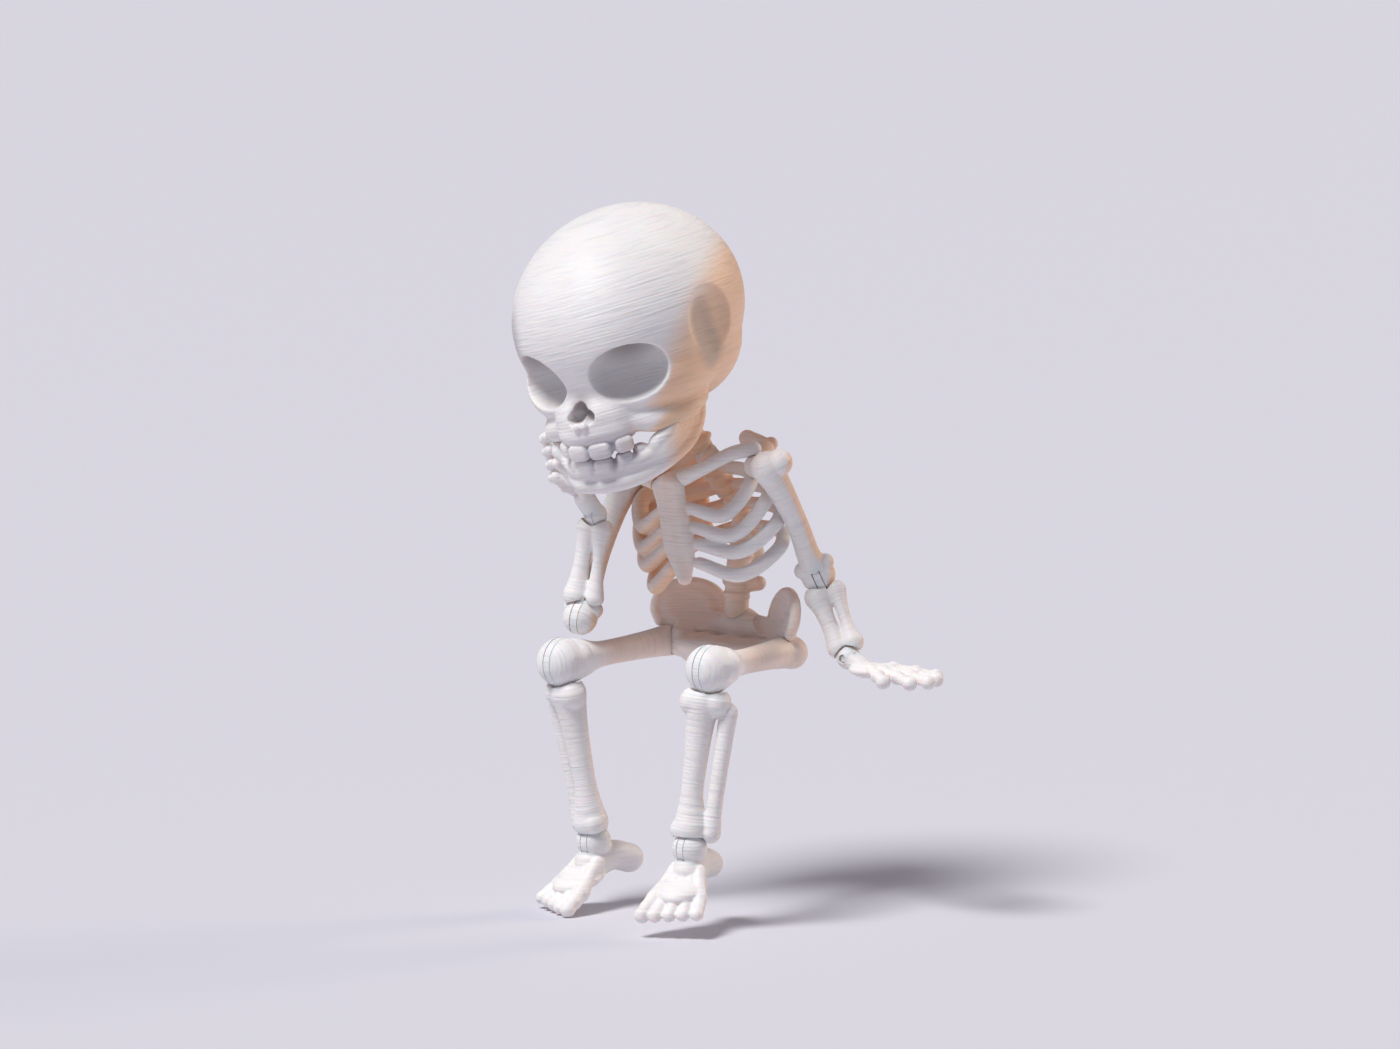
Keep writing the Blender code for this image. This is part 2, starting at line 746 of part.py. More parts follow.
def make_upper_arm(name, shoulder, elbow):
    clay = bmesh.new()
    outward = math.copysign(1.0, shoulder.x)
    along = (elbow - shoulder).normalized()
    radius = UPPER_ARM / 2
    add_ball(clay, shoulder, SHOULDER_BALL / 2)
    add_ball(clay, shoulder + place(outward * 1.4, 0.6, 0.7), SHOULDER_BALL / 2 * 0.8)
    add_rod(
        clay,
        [
            shoulder,
            shoulder.lerp(elbow, 0.3) + place(outward * 0.5, 0, 0),
            shoulder.lerp(elbow, 0.65) + place(outward * 0.4, 0, 0),
            elbow - along * ELBOW_BALL * 0.3,
        ],
        [radius * 1.5, radius * 1.05, radius, radius * 1.35],
    )
    add_ball(clay, elbow, ELBOW_BALL / 2)
    piece = new_piece(name, clay)
    fuse(piece, FINE_VOXEL, 2)
    return piece


def make_forearm(name, elbow, wrist, across):
    clay = bmesh.new()
    along = (wrist - elbow).normalized()
    radius = FOREARM_BONE / 2
    top = elbow + along * (ELBOW_BALL / 2 + 0.5 * MM)
    end = wrist - along * (WRIST_BALL / 2 + 0.2 * MM)
    for side in (-1, 1):
        start = top + across * side * 1.15 * MM
        finish = end + across * side * 0.7 * MM
        middle = start.lerp(finish, 0.5) + across * side * 0.35 * MM
        thick = 1.9 if side < 0 else 1.55
        add_rod(clay, [start, middle, finish], [radius * thick, radius, radius * 1.7])
    piece = new_piece(name, clay)
    fuse(piece, FINE_VOXEL, 2)
    return piece


def add_finger(clay, points, radius):
    add_rod(clay, points, [radius * 1.05] + [radius] * (len(points) - 2) + [radius * 0.9], steps=3)


def make_left_hand():
    """Flat on the ground beside the hip, with the fingers spread."""
    clay = bmesh.new()
    radius = FINGER / 2
    add_ball(clay, LEFT_WRIST, WRIST_BALL / 2)
    palm = place(20.2, 1.3, 1.2)
    add_rod(clay, [LEFT_WRIST, palm], [1.3 * MM, 1.2 * MM])
    tips = (
        place(26.0, -4.0, 0.62),
        place(30.0, -2.3, 0.62),
        place(31.2, -0.1, 0.62),
        place(30.8, 2.1, 0.62),
        place(29.2, 4.2, 0.62),
    )
    for tip in tips:
        knuckle = palm.lerp(tip, 0.45) + place(0, 0, 0.35)
        bend = palm.lerp(tip, 0.75) + place(0, 0, 0.25)
        add_finger(clay, [palm, knuckle, bend, tip], radius)
    piece = new_piece("left_hand", clay)
    fuse(piece, FINE_VOXEL, 1)
    return piece


def make_right_hand():
    """A fist on its edge, with the finger joints stacked against the cheek."""
    clay = bmesh.new()
    radius = FINGER / 2 * 1.05
    add_ball(clay, RIGHT_WRIST, WRIST_BALL / 2)
    heel = RIGHT_WRIST + place(-0.7, -1.2, 2.1)
    add_rod(clay, [RIGHT_WRIST, heel], [1.3 * MM, 1.4 * MM])
    for index in range(4):
        knuckle = place(-15.7 + 0.25 * index, -16.9 + 0.3 * index, 28.9 - 1.65 * index)
        first = knuckle + place(1.5, -1.3, 0.5)
        second = knuckle + place(3.0, -0.5, -0.1)
        add_finger(clay, [heel, heel.lerp(knuckle, 0.5) + place(-0.5, 0, 0), knuckle, first, second], radius)
    thumb = [heel, heel + place(1.2, -2.6, 1.6), heel + place(1.0, -4.4, 3.4), heel + place(0.0, -5.6, 5.0)]
    add_finger(clay, thumb, radius)
    piece = new_piece("right_hand", clay)
    fuse(piece, FINE_VOXEL, 1)
    return piece


# Assembly

cranium = make_cranium()
jaw = make_jaw()
rib_cage = make_rib_cage()
pelvis = make_pelvis()
lumbar = make_lumbar()
neck = make_neck()
keep_clear(jaw, cranium)
keep_clear(lumbar, pelvis)
keep_clear(lumbar, rib_cage)
keep_clear(neck, rib_cage)
for piece in (jaw, lumbar, neck):
    clean(piece)

shoulders = {"left": LEFT_SHOULDER, "right": RIGHT_SHOULDER}
elbows = {"left": LEFT_ELBOW, "right": RIGHT_ELBOW}
wrists = {"left": LEFT_WRIST, "right": RIGHT_WRIST}
hips = {"left": LEFT_HIP, "right": RIGHT_HIP}
knees = {"left": LEFT_KNEE, "right": RIGHT_KNEE}
ankles = {"left": LEFT_ANKLE, "right": RIGHT_ANKLE}
outwards = {"left": 1, "right": -1}
elbow_axes = {}
bones = {"cranium": cranium, "jaw": jaw, "rib_cage": rib_cage, "pelvis": pelvis, "lumbar_column": lumbar}
bones["neck_column"] = neck

for word in ("left", "right"):
    out = outwards[word]
    upper_arm = make_upper_arm(word + "_upper_arm", shoulders[word], elbows[word])
    blade = make_blade(out, shoulders[word], word + "_shoulder_blade")
    collarbone = make_collarbone(out, word + "_collarbone")
    keep_clear(blade, rib_cage)
    keep_clear(blade, neck)
    keep_clear(collarbone, rib_cage)
    keep_clear(collarbone, blade)
    keep_clear(collarbone, upper_arm)
    fold = (wrists[word] - elbows[word]).cross(elbows[word] - shoulders[word]).normalized()
    elbow_axes[word] = fold
    forearm = make_forearm(word + "_forearm", elbows[word], wrists[word], fold)
    keep_clear(forearm, upper_arm)
    thigh = make_thigh(word + "_thigh", hips[word], knees[word])
    keep_clear(thigh, pelvis)
    shin = make_shin(word + "_shin", knees[word], ankles[word])
    foot = make_foot(word + "_foot", ankles[word])
    for piece in (blade, collarbone, forearm, thigh):
        clean(piece)
    for piece in (upper_arm, blade, collarbone, forearm, thigh, shin, foot):
        bones[piece.name] = piece
bones["left_hand"] = make_left_hand()
bones["right_hand"] = make_right_hand()
for piece in (cranium, jaw):
    keep_clear(bones["right_hand"], piece, 2 * GAP)
clean(bones["right_hand"])

TRIANGLES = {
    "cranium": 1500,
    "jaw": 560,
    "rib_cage": 2200,
    "pelvis": 1050,
    "lumbar_column": 200,
    "neck_column": 300,
    "upper_arm": 280,
    "shoulder_blade": 220,
    "collarbone": 100,
    "forearm": 300,
    "hand": 560,
    "thigh": 300,
    "shin": 420,
    "foot": 520,
}
for name, bone in bones.items():
    thin(bone, TRIANGLES[name.removeprefix("left_").removeprefix("right_")])

flatten_seat(pelvis)
carve(cranium, sphere_cutter(NECK_TOP, NECK_BALL / 2 + GAP))

# How far each cup turns about its hinge axis from rest, in degrees
KNEE_SWING = (-70, 5)
ANKLE_SWING = (-20, 20)
ELBOW_SWING = (-35, 35)
WRIST_SWING = (-20, 20)
ACROSS = Vector((1, 0, 0))
WRIST_AXES = {"left": Vector((0, 1, 0)), "right": ACROSS}


def radians_of(swing):
    return [math.radians(turn) for turn in swing]


shoulder_axes = {}
for word in ("left", "right"):
    out = outwards[word]
    shoulder = shoulders[word]
    socket = shoulder + SOCKET_OFFSET * Vector((out, 1, 1))
    axis = (shoulder - socket).normalized()
    shoulder_axes[word] = axis
    blade = bones[word + "_shoulder_blade"]
    upper_arm = bones[word + "_upper_arm"]
    carve(blade, sphere_cutter(shoulder, SHOULDER_BALL / 2 + GAP))
    peg((blade, upper_arm), socket + axis * 0.2 * MM, shoulder + axis * 1.0 * MM, LIMB_PIN, word + "_shoulder_pin")
    hip_pin_start = hips[word] - ACROSS * out * 2.9 * MM
    hip_pin_end = hips[word] + ACROSS * out * 1.1 * MM
    peg((pelvis, bones[word + "_thigh"]), hip_pin_start, hip_pin_end, BODY_PIN, word + "_hip_pin")
    peg((jaw, cranium), in_head(out * 8.5, -4.4, -12.2), in_head(out * 8.5, -3.4, -8.0), LIMB_PIN, word + "_jaw_pin")
    hinge(
        bones[word + "_thigh"], bones[word + "_shin"], knees[word], ACROSS,
        ankles[word] - knees[word], KNEE_BALL, radians_of(KNEE_SWING), word + "_knee_pin",
    )
    hinge(
        bones[word + "_foot"], bones[word + "_shin"], ankles[word], ACROSS,
        knees[word] - ankles[word], ANKLE_BALL, radians_of(ANKLE_SWING), word + "_ankle_pin",
    )
    hinge(
        upper_arm, bones[word + "_forearm"], elbows[word], elbow_axes[word],
        wrists[word] - elbows[word], ELBOW_BALL, radians_of(ELBOW_SWING), word + "_elbow_pin",
    )
    hinge(
        bones[word + "_hand"], bones[word + "_forearm"], wrists[word], WRIST_AXES[word],
        elbows[word] - wrists[word], WRIST_BALL, radians_of(WRIST_SWING), word + "_wrist_pin",
    )

up_neck = (NECK_TOP - NECK_ROOT).normalized()
neck_seam = NECK_ROOT - (NECK_TOP - NECK_ROOT) * 0.1 + up_neck * SPINE / 2
peg((rib_cage, neck), neck_seam - up_neck * 1.7 * MM, neck_seam + up_neck * 1.7 * MM, BODY_PIN, "neck_pin")
column = spine_points()
down_spine = (column[-1] - column[-2]).normalized()
chest_seam = column[-1] + (column[-1] - column[-2]) * 0.5 + down_spine * SPINE / 2
peg((rib_cage, lumbar), chest_seam - down_spine * 1.6 * MM, chest_seam + down_spine * 1.6 * MM, BODY_PIN, "chest_pin")
peg((pelvis, lumbar), WAIST + place(0, 0.2, -1.4), WAIST + place(0, 0, 2.0), BODY_PIN, "waist_pin")

# Joints: the body that turns, its parent body, a point on the axis and the axis
JOINTS = {
    "head": ("root", NECK_TOP, ACROSS),
    "left_arm": ("root", LEFT_SHOULDER, shoulder_axes["left"]),
    "left_lower_arm": ("left_arm", LEFT_ELBOW, elbow_axes["left"]),
    "left_palm": ("left_lower_arm", LEFT_WRIST, WRIST_AXES["left"]),
    "right_lower_arm": ("root", RIGHT_ELBOW, elbow_axes["right"]),
    "right_fist": ("right_lower_arm", RIGHT_WRIST, WRIST_AXES["right"]),
    "left_lower_leg": ("root", LEFT_KNEE, ACROSS),
    "left_sole": ("left_lower_leg", LEFT_ANKLE, ACROSS),
    "right_lower_leg": ("root", RIGHT_KNEE, ACROSS),
    "right_sole": ("right_lower_leg", RIGHT_ANKLE, ACROSS),
}
BODY_PIECES = {
    "head": ("cranium", "jaw", "left_jaw_pin", "right_jaw_pin"),
    "left_arm": ("left_upper_arm", "left_elbow_pin"),
    "left_lower_arm": ("left_forearm",),
    "left_palm": ("left_hand", "left_wrist_pin"),
    "right_lower_arm": ("right_forearm",),
    "right_fist": ("right_hand", "right_wrist_pin"),
    "left_lower_leg": ("left_shin",),
    "left_sole": ("left_foot", "left_ankle_pin"),
    "right_lower_leg": ("right_shin",),
    "right_sole": ("right_foot", "right_ankle_pin"),
}


def put_under(child, parent):
    child.parent = parent
    child.matrix_parent_inverse = parent.matrix_world.inverted()


hubs = {}
for body, (parent, centre, axis) in JOINTS.items():
    hub = bpy.data.objects.new(body + "_joint", None)
    hub.empty_display_size = 3 * MM
    hub.matrix_world = frame_towards(centre, axis)
    ornament.objects.link(hub)
    hubs[body] = hub
bpy.context.view_layer.update()
for body, (parent, centre, axis) in JOINTS.items():
    if parent != "root":
        put_under(hubs[body], hubs[parent])
    for name in BODY_PIECES[body]:
        put_under(bpy.data.objects[name], hubs[body])

for piece in ornament.objects:
    if piece.type == "MESH":
        colour = PIN_COLOUR if piece.name.endswith("_pin") else BONE_COLOUR
        piece.data.materials.clear()
        piece.data.materials.append(material(piece.name, colour, 0.5))
        piece.data.shade_smooth()
        piece.data.set_sharp_from_angle(angle=math.radians(50))
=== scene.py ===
"""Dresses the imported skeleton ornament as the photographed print.

Every bone is rebuilt over its CAD solid, in metres and in the CAD's own frame. The forms are finer and
in places fuller or thinner than the solids. The joints, the hinge balls, the pins and the fit of the pin
holes are the CAD's. The seams between glued bones and the gaps beside the hinge tongues are narrower
than the CAD's, and the tongues are larger.
"""

import json
import math

import bmesh
import bpy
import numpy as np
from mathutils import Matrix, Vector

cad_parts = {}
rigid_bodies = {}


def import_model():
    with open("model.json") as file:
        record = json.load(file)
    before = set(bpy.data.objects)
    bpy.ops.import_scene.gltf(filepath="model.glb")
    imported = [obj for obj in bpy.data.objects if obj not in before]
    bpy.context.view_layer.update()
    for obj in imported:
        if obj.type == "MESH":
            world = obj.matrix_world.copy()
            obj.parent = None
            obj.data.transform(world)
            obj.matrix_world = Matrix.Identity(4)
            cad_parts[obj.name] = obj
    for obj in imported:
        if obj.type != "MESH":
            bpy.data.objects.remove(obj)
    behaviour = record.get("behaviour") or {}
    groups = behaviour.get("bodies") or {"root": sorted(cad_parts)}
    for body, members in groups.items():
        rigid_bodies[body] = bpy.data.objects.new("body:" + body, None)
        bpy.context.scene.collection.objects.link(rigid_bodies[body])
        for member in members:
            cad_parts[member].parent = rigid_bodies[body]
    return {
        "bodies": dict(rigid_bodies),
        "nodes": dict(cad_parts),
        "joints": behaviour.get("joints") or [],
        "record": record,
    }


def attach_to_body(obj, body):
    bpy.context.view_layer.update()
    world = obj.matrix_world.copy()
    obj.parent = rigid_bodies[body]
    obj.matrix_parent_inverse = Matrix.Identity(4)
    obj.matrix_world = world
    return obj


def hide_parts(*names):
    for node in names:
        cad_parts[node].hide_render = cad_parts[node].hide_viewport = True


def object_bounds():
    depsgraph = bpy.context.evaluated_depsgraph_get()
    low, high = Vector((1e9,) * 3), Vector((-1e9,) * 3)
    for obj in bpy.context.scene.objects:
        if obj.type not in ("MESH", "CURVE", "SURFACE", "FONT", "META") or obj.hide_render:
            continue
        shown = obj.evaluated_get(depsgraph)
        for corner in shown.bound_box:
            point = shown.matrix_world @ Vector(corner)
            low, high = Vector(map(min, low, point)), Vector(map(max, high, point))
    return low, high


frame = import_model()
cad_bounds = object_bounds()
scene = bpy.context.scene

MM = 0.001


def place(x, y, z):
    """A point given in millimetres."""
    return Vector((x, y, z)) * MM


# Fits, pins and hinge tongues. SEAM, TONGUE_SINK, TONGUE_NECK and SLOT_FIT are not the CAD's numbers.
GAP = 0.3 * MM
SEAM = 0.1 * MM
PIN_FIT = 0.15 * MM
PIN_COVER = 0.7 * MM
PIN_MOUTH = 2.0 * MM
NECK_PEG = 1.7 * MM
CHEST_PEG = 1.6 * MM
TONGUE = 0.9 * MM
TONGUE_SINK = 0.1 * MM
TONGUE_ROOT = 0.5 * MM
TONGUE_NECK = 0.4
SLOT_FIT = 0.1 * MM
LIMB_PIN = 0.8 * MM
BODY_PIN = 1.3 * MM

# Skull
HEAD_CENTRE = place(-5.5, -12.9, 45.3)
HEAD_PITCH = math.radians(14)
HEAD_ROLL = math.radians(10)
HEAD_YAW = math.radians(9)
CRANIUM = (14.0 * MM, 16.5 * MM, 13.0 * MM)
NECK_BALL = 4.4 * MM

# Trunk
NECK_TOP = place(-4.2, -6.3, 33.6)
NECK_ROOT = place(-1.3, -3.0, 27.4)
NECK_COLUMN = 3.0 * MM
BREASTBONE_CENTRE = place(-0.4, -9.3, 18.2)
CHEST_LEAN = math.radians(3)
CHEST_ROLL = math.radians(11)
RIB = 1.85 * MM
# Half width and half depth of each rib pair, and its heights at the spine, at the side, at its
# lowest and at the breastbone, above the middle of the breastbone.
RIB_PAIRS = tuple(
    tuple(size * MM for size in pair)
    for pair in (
        (8.6, 4.3, 6.2, 3.6, 0.7, 2.3),
        (9.7, 5.4, 3.6, 1.3, -1.9, -0.2),
        (10.0, 6.2, 1.0, -1.7, -4.1, -2.3),
        (9.2, 6.6, -2.0, -5.0, -7.0, -4.7),
    )
)
STERNUM_WIDTH = 4.4 * MM
STERNUM_TOP = 6.0 * MM
STERNUM_FOOT = -6.2 * MM
SPINE = 3.2 * MM
WAIST = place(0.0, 2.0, 6.6)
WING_CENTRE = place(7.4, 2.0, 6.2)

# Limbs
SHOULDERS = {"left": place(10.5, -5.6, 26.2), "right": place(-12.2, -4.4, 22.7)}
ELBOWS = {"left": place(12.0, 2.9, 12.0), "right": place(-11.6, -14.9, 6.6)}
WRISTS = {"left": place(17.8, 1.5, 2.3), "right": place(-10.5, -13.2, 19.4)}
HIPS = {"left": place(8.8, 0.2, 2.3), "right": place(-8.8, 0.2, 2.3)}
KNEES = {"left": place(11.5, -18.5, 2.7), "right": place(-11.5, -18.9, 1.5)}
ANKLES = {"left": place(10.2, -20.9, -19.4), "right": place(-9.0, -15.6, -21.2)}
OUTWARDS = {"left": 1, "right": -1}
SHOULDER_BALL = 4.2 * MM
SOCKET_OFFSET = place(-2.7, 1.2, -0.2)
ELBOW_BALL = 4.4 * MM
WRIST_BALL = 3.0 * MM
KNEE_BALL = 6.2 * MM
ANKLE_BALL = 4.4 * MM
KNEE_BACK = math.radians(6)
FOOT_PITCH = math.radians(17)
FOOT_SPLAY = math.radians(13.5)
ACROSS = Vector((1, 0, 0))
WRIST_AXES = {"left": Vector((0, 1, 0)), "right": ACROSS}

# Fineness of the bones' skins, and the angle from which an edge is shaded as sharp
SKIN = 0.18 * MM
FINE_SKIN = 0.13 * MM
SHARP_EDGE = math.radians(50)


# Camera

AZIMUTH = math.radians(37.5)
ELEVATION = math.radians(8)
CAMERA_DISTANCE = 1.1667
LENS = 240
VIEW_RIGHT = Vector((math.cos(AZIMUTH), math.sin(AZIMUTH), 0))
VIEW_BACK = Vector((
    math.sin(AZIMUTH) * math.cos(ELEVATION),
    -math.cos(AZIMUTH) * math.cos(ELEVATION),
    math.sin(ELEVATION),
))
VIEW_UP = VIEW_BACK.cross(VIEW_RIGHT)
FOCUS = VIEW_RIGHT * -3.375 * MM + VIEW_UP * 17.4375 * MM

camera_data = bpy.data.cameras.new("camera")
camera_data.lens = LENS
camera_data.sensor_width = 36
camera_data.clip_start = 0.01
camera = bpy.data.objects.new("camera", camera_data)
camera.location = FOCUS + VIEW_BACK * CAMERA_DISTANCE
camera.rotation_euler = VIEW_BACK.to_track_quat("Z", "Y").to_euler()
scene.collection.objects.link(camera)
scene.camera = camera


# Building blocks

def frame_towards(centre, direction):
    """A frame at the centre whose Z axis runs along the direction."""
    turn = direction.to_track_quat("Z", "Y").to_matrix().to_4x4()
    return Matrix.Translation(centre) @ turn


class Clay:
    """Closed shapes in one heap, which may overlap, as points and faces."""

    def __init__(self):
        self.points = []
        self.faces = []

    def add(self, points, faces):
        first = len(self.points)
        self.points.extend(points)
        self.faces.extend(tuple(first + corner for corner in face) for face in faces)


def ball_faces(segments, rings):
    """The faces of a ball whose first and last points are its poles."""
    faces = []
    last = 1 + segments * (rings - 1)
    for column in range(segments):
        after = (column + 1) % segments
        faces.append((0, 1 + column, 1 + after))
        for row in range(rings - 2):
            top = 1 + row * segments
            low = top + segments
            faces.append((top + column, low + column, low + after, top + after))
        low = last - segments
        faces.append((low + column, last, low + after))
    return faces


def add_ball(clay, centre, radii, frame=Matrix(), segments=32, fullness=2.0):
    """A ball, or an ellipsoid where radii is a triple, at a point of the frame. A fullness above 2
    fills it out towards a box."""
    if not hasattr(radii, "__len__"):
        radii = (radii, radii, radii)
    rings = segments // 2
    matrix = np.array(frame @ Matrix.Translation(centre) @ Matrix.Diagonal((*radii, 1.0)))
    down = np.repeat(np.arange(1, rings) * math.pi / rings, segments)
    turn = np.tile(np.arange(segments) * 2 * math.pi / segments, rings - 1)
    sides = np.stack((np.sin(down) * np.cos(turn), np.sin(down) * np.sin(turn), np.cos(down)), axis=1)
    unit = np.concatenate(([[0, 0, 1]], sides, [[0, 0, -1]]))
    unit /= ((np.abs(unit) ** fullness).sum(axis=1) ** (1 / fullness))[:, None]
    points = unit @ matrix[:3, :3].T + matrix[:3, 3]
    clay.add(points.tolist(), ball_faces(segments, rings))


def add_tube(clay, path, radii, sides=20):
    """Rings round the path's points, with flat ends."""
    count = len(path)
    middle = np.array([tuple(point) for point in path])
    ahead = np.gradient(middle, axis=0)
    ahead /= np.linalg.norm(ahead, axis=1)[:, None]
    side = np.cross(ahead[0], (0.3, 0.5, 0.8))
    points = []
    turns = np.arange(sides) * 2 * math.pi / sides
    for centre, forward, radius in zip(middle, ahead, radii):
        side = side - forward * side.dot(forward)
        side /= np.linalg.norm(side)
        other = np.cross(forward, side)
        ring = np.outer(np.cos(turns), side) + np.outer(np.sin(turns), other)
        points.extend((centre + radius * ring).tolist())
    faces = [tuple(reversed(range(sides))), tuple(range((count - 1) * sides, count * sides))]
    for row in range(count - 1):
        for column in range(sides):
            after = (column + 1) % sides
            low = row * sides
            faces.append((low + column, low + after, low + sides + after, low + sides + column))
    clay.add(points, faces)


def add_prism(clay, outline, thickness, frame):
    """A flat outline in the frame's XY plane, thickened evenly to both sides of it."""
    count = len(outline)
    points = []
    for z in (-thickness / 2, thickness / 2):
        points.extend(tuple(frame @ Vector((x, y, z))) for x, y in outline)
    faces = [tuple(reversed(range(count))), tuple(range(count, 2 * count))]
    for index in range(count):
        after = (index + 1) % count
        faces.append((index, after, count + after, count + index))
    clay.add(points, faces)


def smooth_path(points, steps):
    """Points on a Catmull-Rom curve through the given ones. Each carries a radius as a fourth number."""
    ends = [points[0] * 2 - points[1], *points, points[-1] * 2 - points[-2]]
    path = []
    for before, start, end, after in zip(ends, ends[1:], ends[2:], ends[3:]):
        for step in range(steps):
            t = step / steps
            bend = (before * 2 - start * 5 + end * 4 - after) * t * t
            twist = (start * 3 - before - end * 3 + after) * t * t * t
            path.append((start * 2 + (end - before) * t + bend + twist) / 2)
    return [*path, points[-1]]


def add_rod(clay, points, radii, steps=8):
    """A round bar with rounded ends through the points, with a radius at each."""
    if not hasattr(radii, "__len__"):
        radii = [radii] * len(points)
    marks = [Vector((*point, radius)) for point, radius in zip(points, radii)]
    path = smooth_path(marks, steps)
    add_tube(clay, [mark.xyz for mark in path], [mark.w for mark in path])
    add_ball(clay, points[0], radii[0], segments=20)
    add_ball(clay, points[-1], radii[-1], segments=20)


def new_piece(name, clay):
    mesh = bpy.data.meshes.new(name)
    mesh.from_pydata(clay.points, [], clay.faces)
    outside = bmesh.new()
    outside.from_mesh(mesh)
    bmesh.ops.recalc_face_normals(outside, faces=outside.faces)
    outside.to_mesh(mesh)
    outside.free()
    piece = bpy.data.objects.new(name, mesh)
    scene.collection.objects.link(piece)
    return piece


def settle(piece):
    """Makes what the modifiers do to the piece its own mesh."""
    graph = bpy.context.evaluated_depsgraph_get()
    mesh = bpy.data.meshes.new_from_object(piece.evaluated_get(graph))
    piece.modifiers.clear()
    old = piece.data
    piece.data = mesh
    bpy.data.meshes.remove(old)


def fuse(piece, voxel, rounds):
    """One skin round all that the piece holds, with its creases softened."""
    remesh = piece.modifiers.new("fuse", "REMESH")
    remesh.mode = "VOXEL"
    remesh.voxel_size = voxel
    soften = piece.modifiers.new("soften", "SMOOTH")
    soften.factor = 0.5
    soften.iterations = rounds
    settle(piece)


def boolean(piece, other, operation):
    change = piece.modifiers.new(operation.lower(), "BOOLEAN")
    change.operation = operation
    change.solver = "MANIFOLD"
    change.object = other
    settle(piece)


def drop(piece):
    mesh = piece.data
    bpy.data.objects.remove(piece)
    bpy.data.meshes.remove(mesh)


def carve(piece, clay):
    """Cuts the shapes in clay, which don't touch each other, out of the piece."""
    cutter = new_piece("cutter", clay)
    boolean(piece, cutter, "DIFFERENCE")
    drop(cutter)


def carve_soft(piece, clay, voxel, rounds):
    """Cuts the shapes in clay, fused and softened, out of the piece."""
    cutter = new_piece("cutter", clay)
    fuse(cutter, voxel, rounds)
    boolean(piece, cutter, "DIFFERENCE")
    drop(cutter)


def attach(piece, clay, voxel=None):
    """Joins the shapes in clay to the piece. They are fused first where a voxel size is given."""
    addition = new_piece("addition", clay)
    if voxel:
        fuse(addition, voxel, 1)
    boolean(piece, addition, "UNION")
    drop(addition)


def keep_clear(piece, neighbour, gap=GAP, turn=Matrix()):
    """Cuts the piece where it comes nearer to its neighbour than the gap, with the neighbour turned."""
    around = bpy.data.objects.new("around", neighbour.data.copy())
    around.data.transform(turn)
    scene.collection.objects.link(around)
    grow = around.modifiers.new("grow", "DISPLACE")
    grow.mid_level = 0.0
    grow.strength = gap
    remesh = around.modifiers.new("skin", "REMESH")
    remesh.mode = "VOXEL"
    remesh.voxel_size = SKIN
    settle(around)
    boolean(piece, around, "DIFFERENCE")
    drop(around)


def keep_largest(piece):
    """Drops the crumbs that cuts left."""
    mesh = piece.data
    ends = np.empty(2 * len(mesh.edges), dtype=np.int64)
    mesh.edges.foreach_get("vertices", ends)
    ends = ends.reshape(-1, 2)
    group = np.arange(len(mesh.vertices))
    while True:
        lowest = np.minimum(group[ends[:, 0]], group[ends[:, 1]])
        new = group.copy()
        np.minimum.at(new, ends[:, 0], lowest)
        np.minimum.at(new, ends[:, 1], lowest)
        new = new[new]
        if np.array_equal(new, group):
            break
        group = new
    names, sizes = np.unique(group, return_counts=True)
    if len(names) == 1:
        return
    crumbs = np.flatnonzero(group != names[sizes.argmax()])
    whole = bmesh.new()
    whole.from_mesh(mesh)
    whole.verts.ensure_lookup_table()
    bmesh.ops.delete(whole, geom=[whole.verts[index] for index in crumbs], context="VERTS")
    whole.to_mesh(mesh)
    whole.free()


def clean(piece, voxel=FINE_SKIN, rounds=2):
    """Rounds the edges of the cuts, and drops crumbs that they left."""
    fuse(piece, voxel, rounds)
    keep_largest(piece)


def sphere_cutter(centre, radius):
    clay = Clay()
    add_ball(clay, centre, radius, segments=64)
    return clay


# Hinges: a ball with a slot, and a cup with a tongue that a cross pin holds in the slot

def hinge_frame(centre, axis, towards):
    """X runs from the centre towards the cup, and Z along the hinge axis."""
    z = axis.normalized()
    x = (towards - z * towards.dot(z)).normalized()
    y = z.cross(x)
    turn = Matrix((x, y, z)).transposed().to_4x4()
    return Matrix.Translation(centre) @ turn


def on_circle(turn, distance):
    return Vector((distance * math.cos(turn), distance * math.sin(turn)))


def tongue_outline(radius, neck, length):
    """A disc round the centre with a narrower neck along X."""
    meeting = math.asin(neck / radius)
    rim = [on_circle(meeting + (2 * math.pi - 2 * meeting) * step / 60, radius) for step in range(61)]
    return [*rim, (length, -neck), (length, neck)]


def hinge(ball_piece, cup_piece, centre, axis, towards, ball):
    """Joins the two pieces. Towards points from the ball to the cup."""
    radius = ball / 2
    frame = hinge_frame(centre, axis, towards)
    carve(cup_piece, sphere_cutter(centre, radius + GAP))
    keep_largest(cup_piece)
    tongue = radius - TONGUE_SINK
    clay = Clay()
    outline = tongue_outline(tongue, TONGUE_NECK * radius, radius + GAP + TONGUE_ROOT)
    add_prism(clay, outline, TONGUE, frame)
    attach(cup_piece, clay)
    clay = Clay()
    slot = TONGUE + 2 * SLOT_FIT
    slot_ends = [frame @ Vector((0, 0, z)) for z in (-slot / 2, slot / 2)]
    add_tube(clay, slot_ends, [tongue + SLOT_FIT] * 2, sides=96)
    carve(ball_piece, clay)
    pin_axis = axis.normalized()
    blind_end = centre + pin_axis * (radius - PIN_COVER)
    open_end = centre - pin_axis * (radius + PIN_MOUTH)
    for piece in (ball_piece, cup_piece):
        clay = Clay()
        add_tube(clay, [open_end, blind_end], [LIMB_PIN / 2 + PIN_FIT] * 2)
        carve(piece, clay)


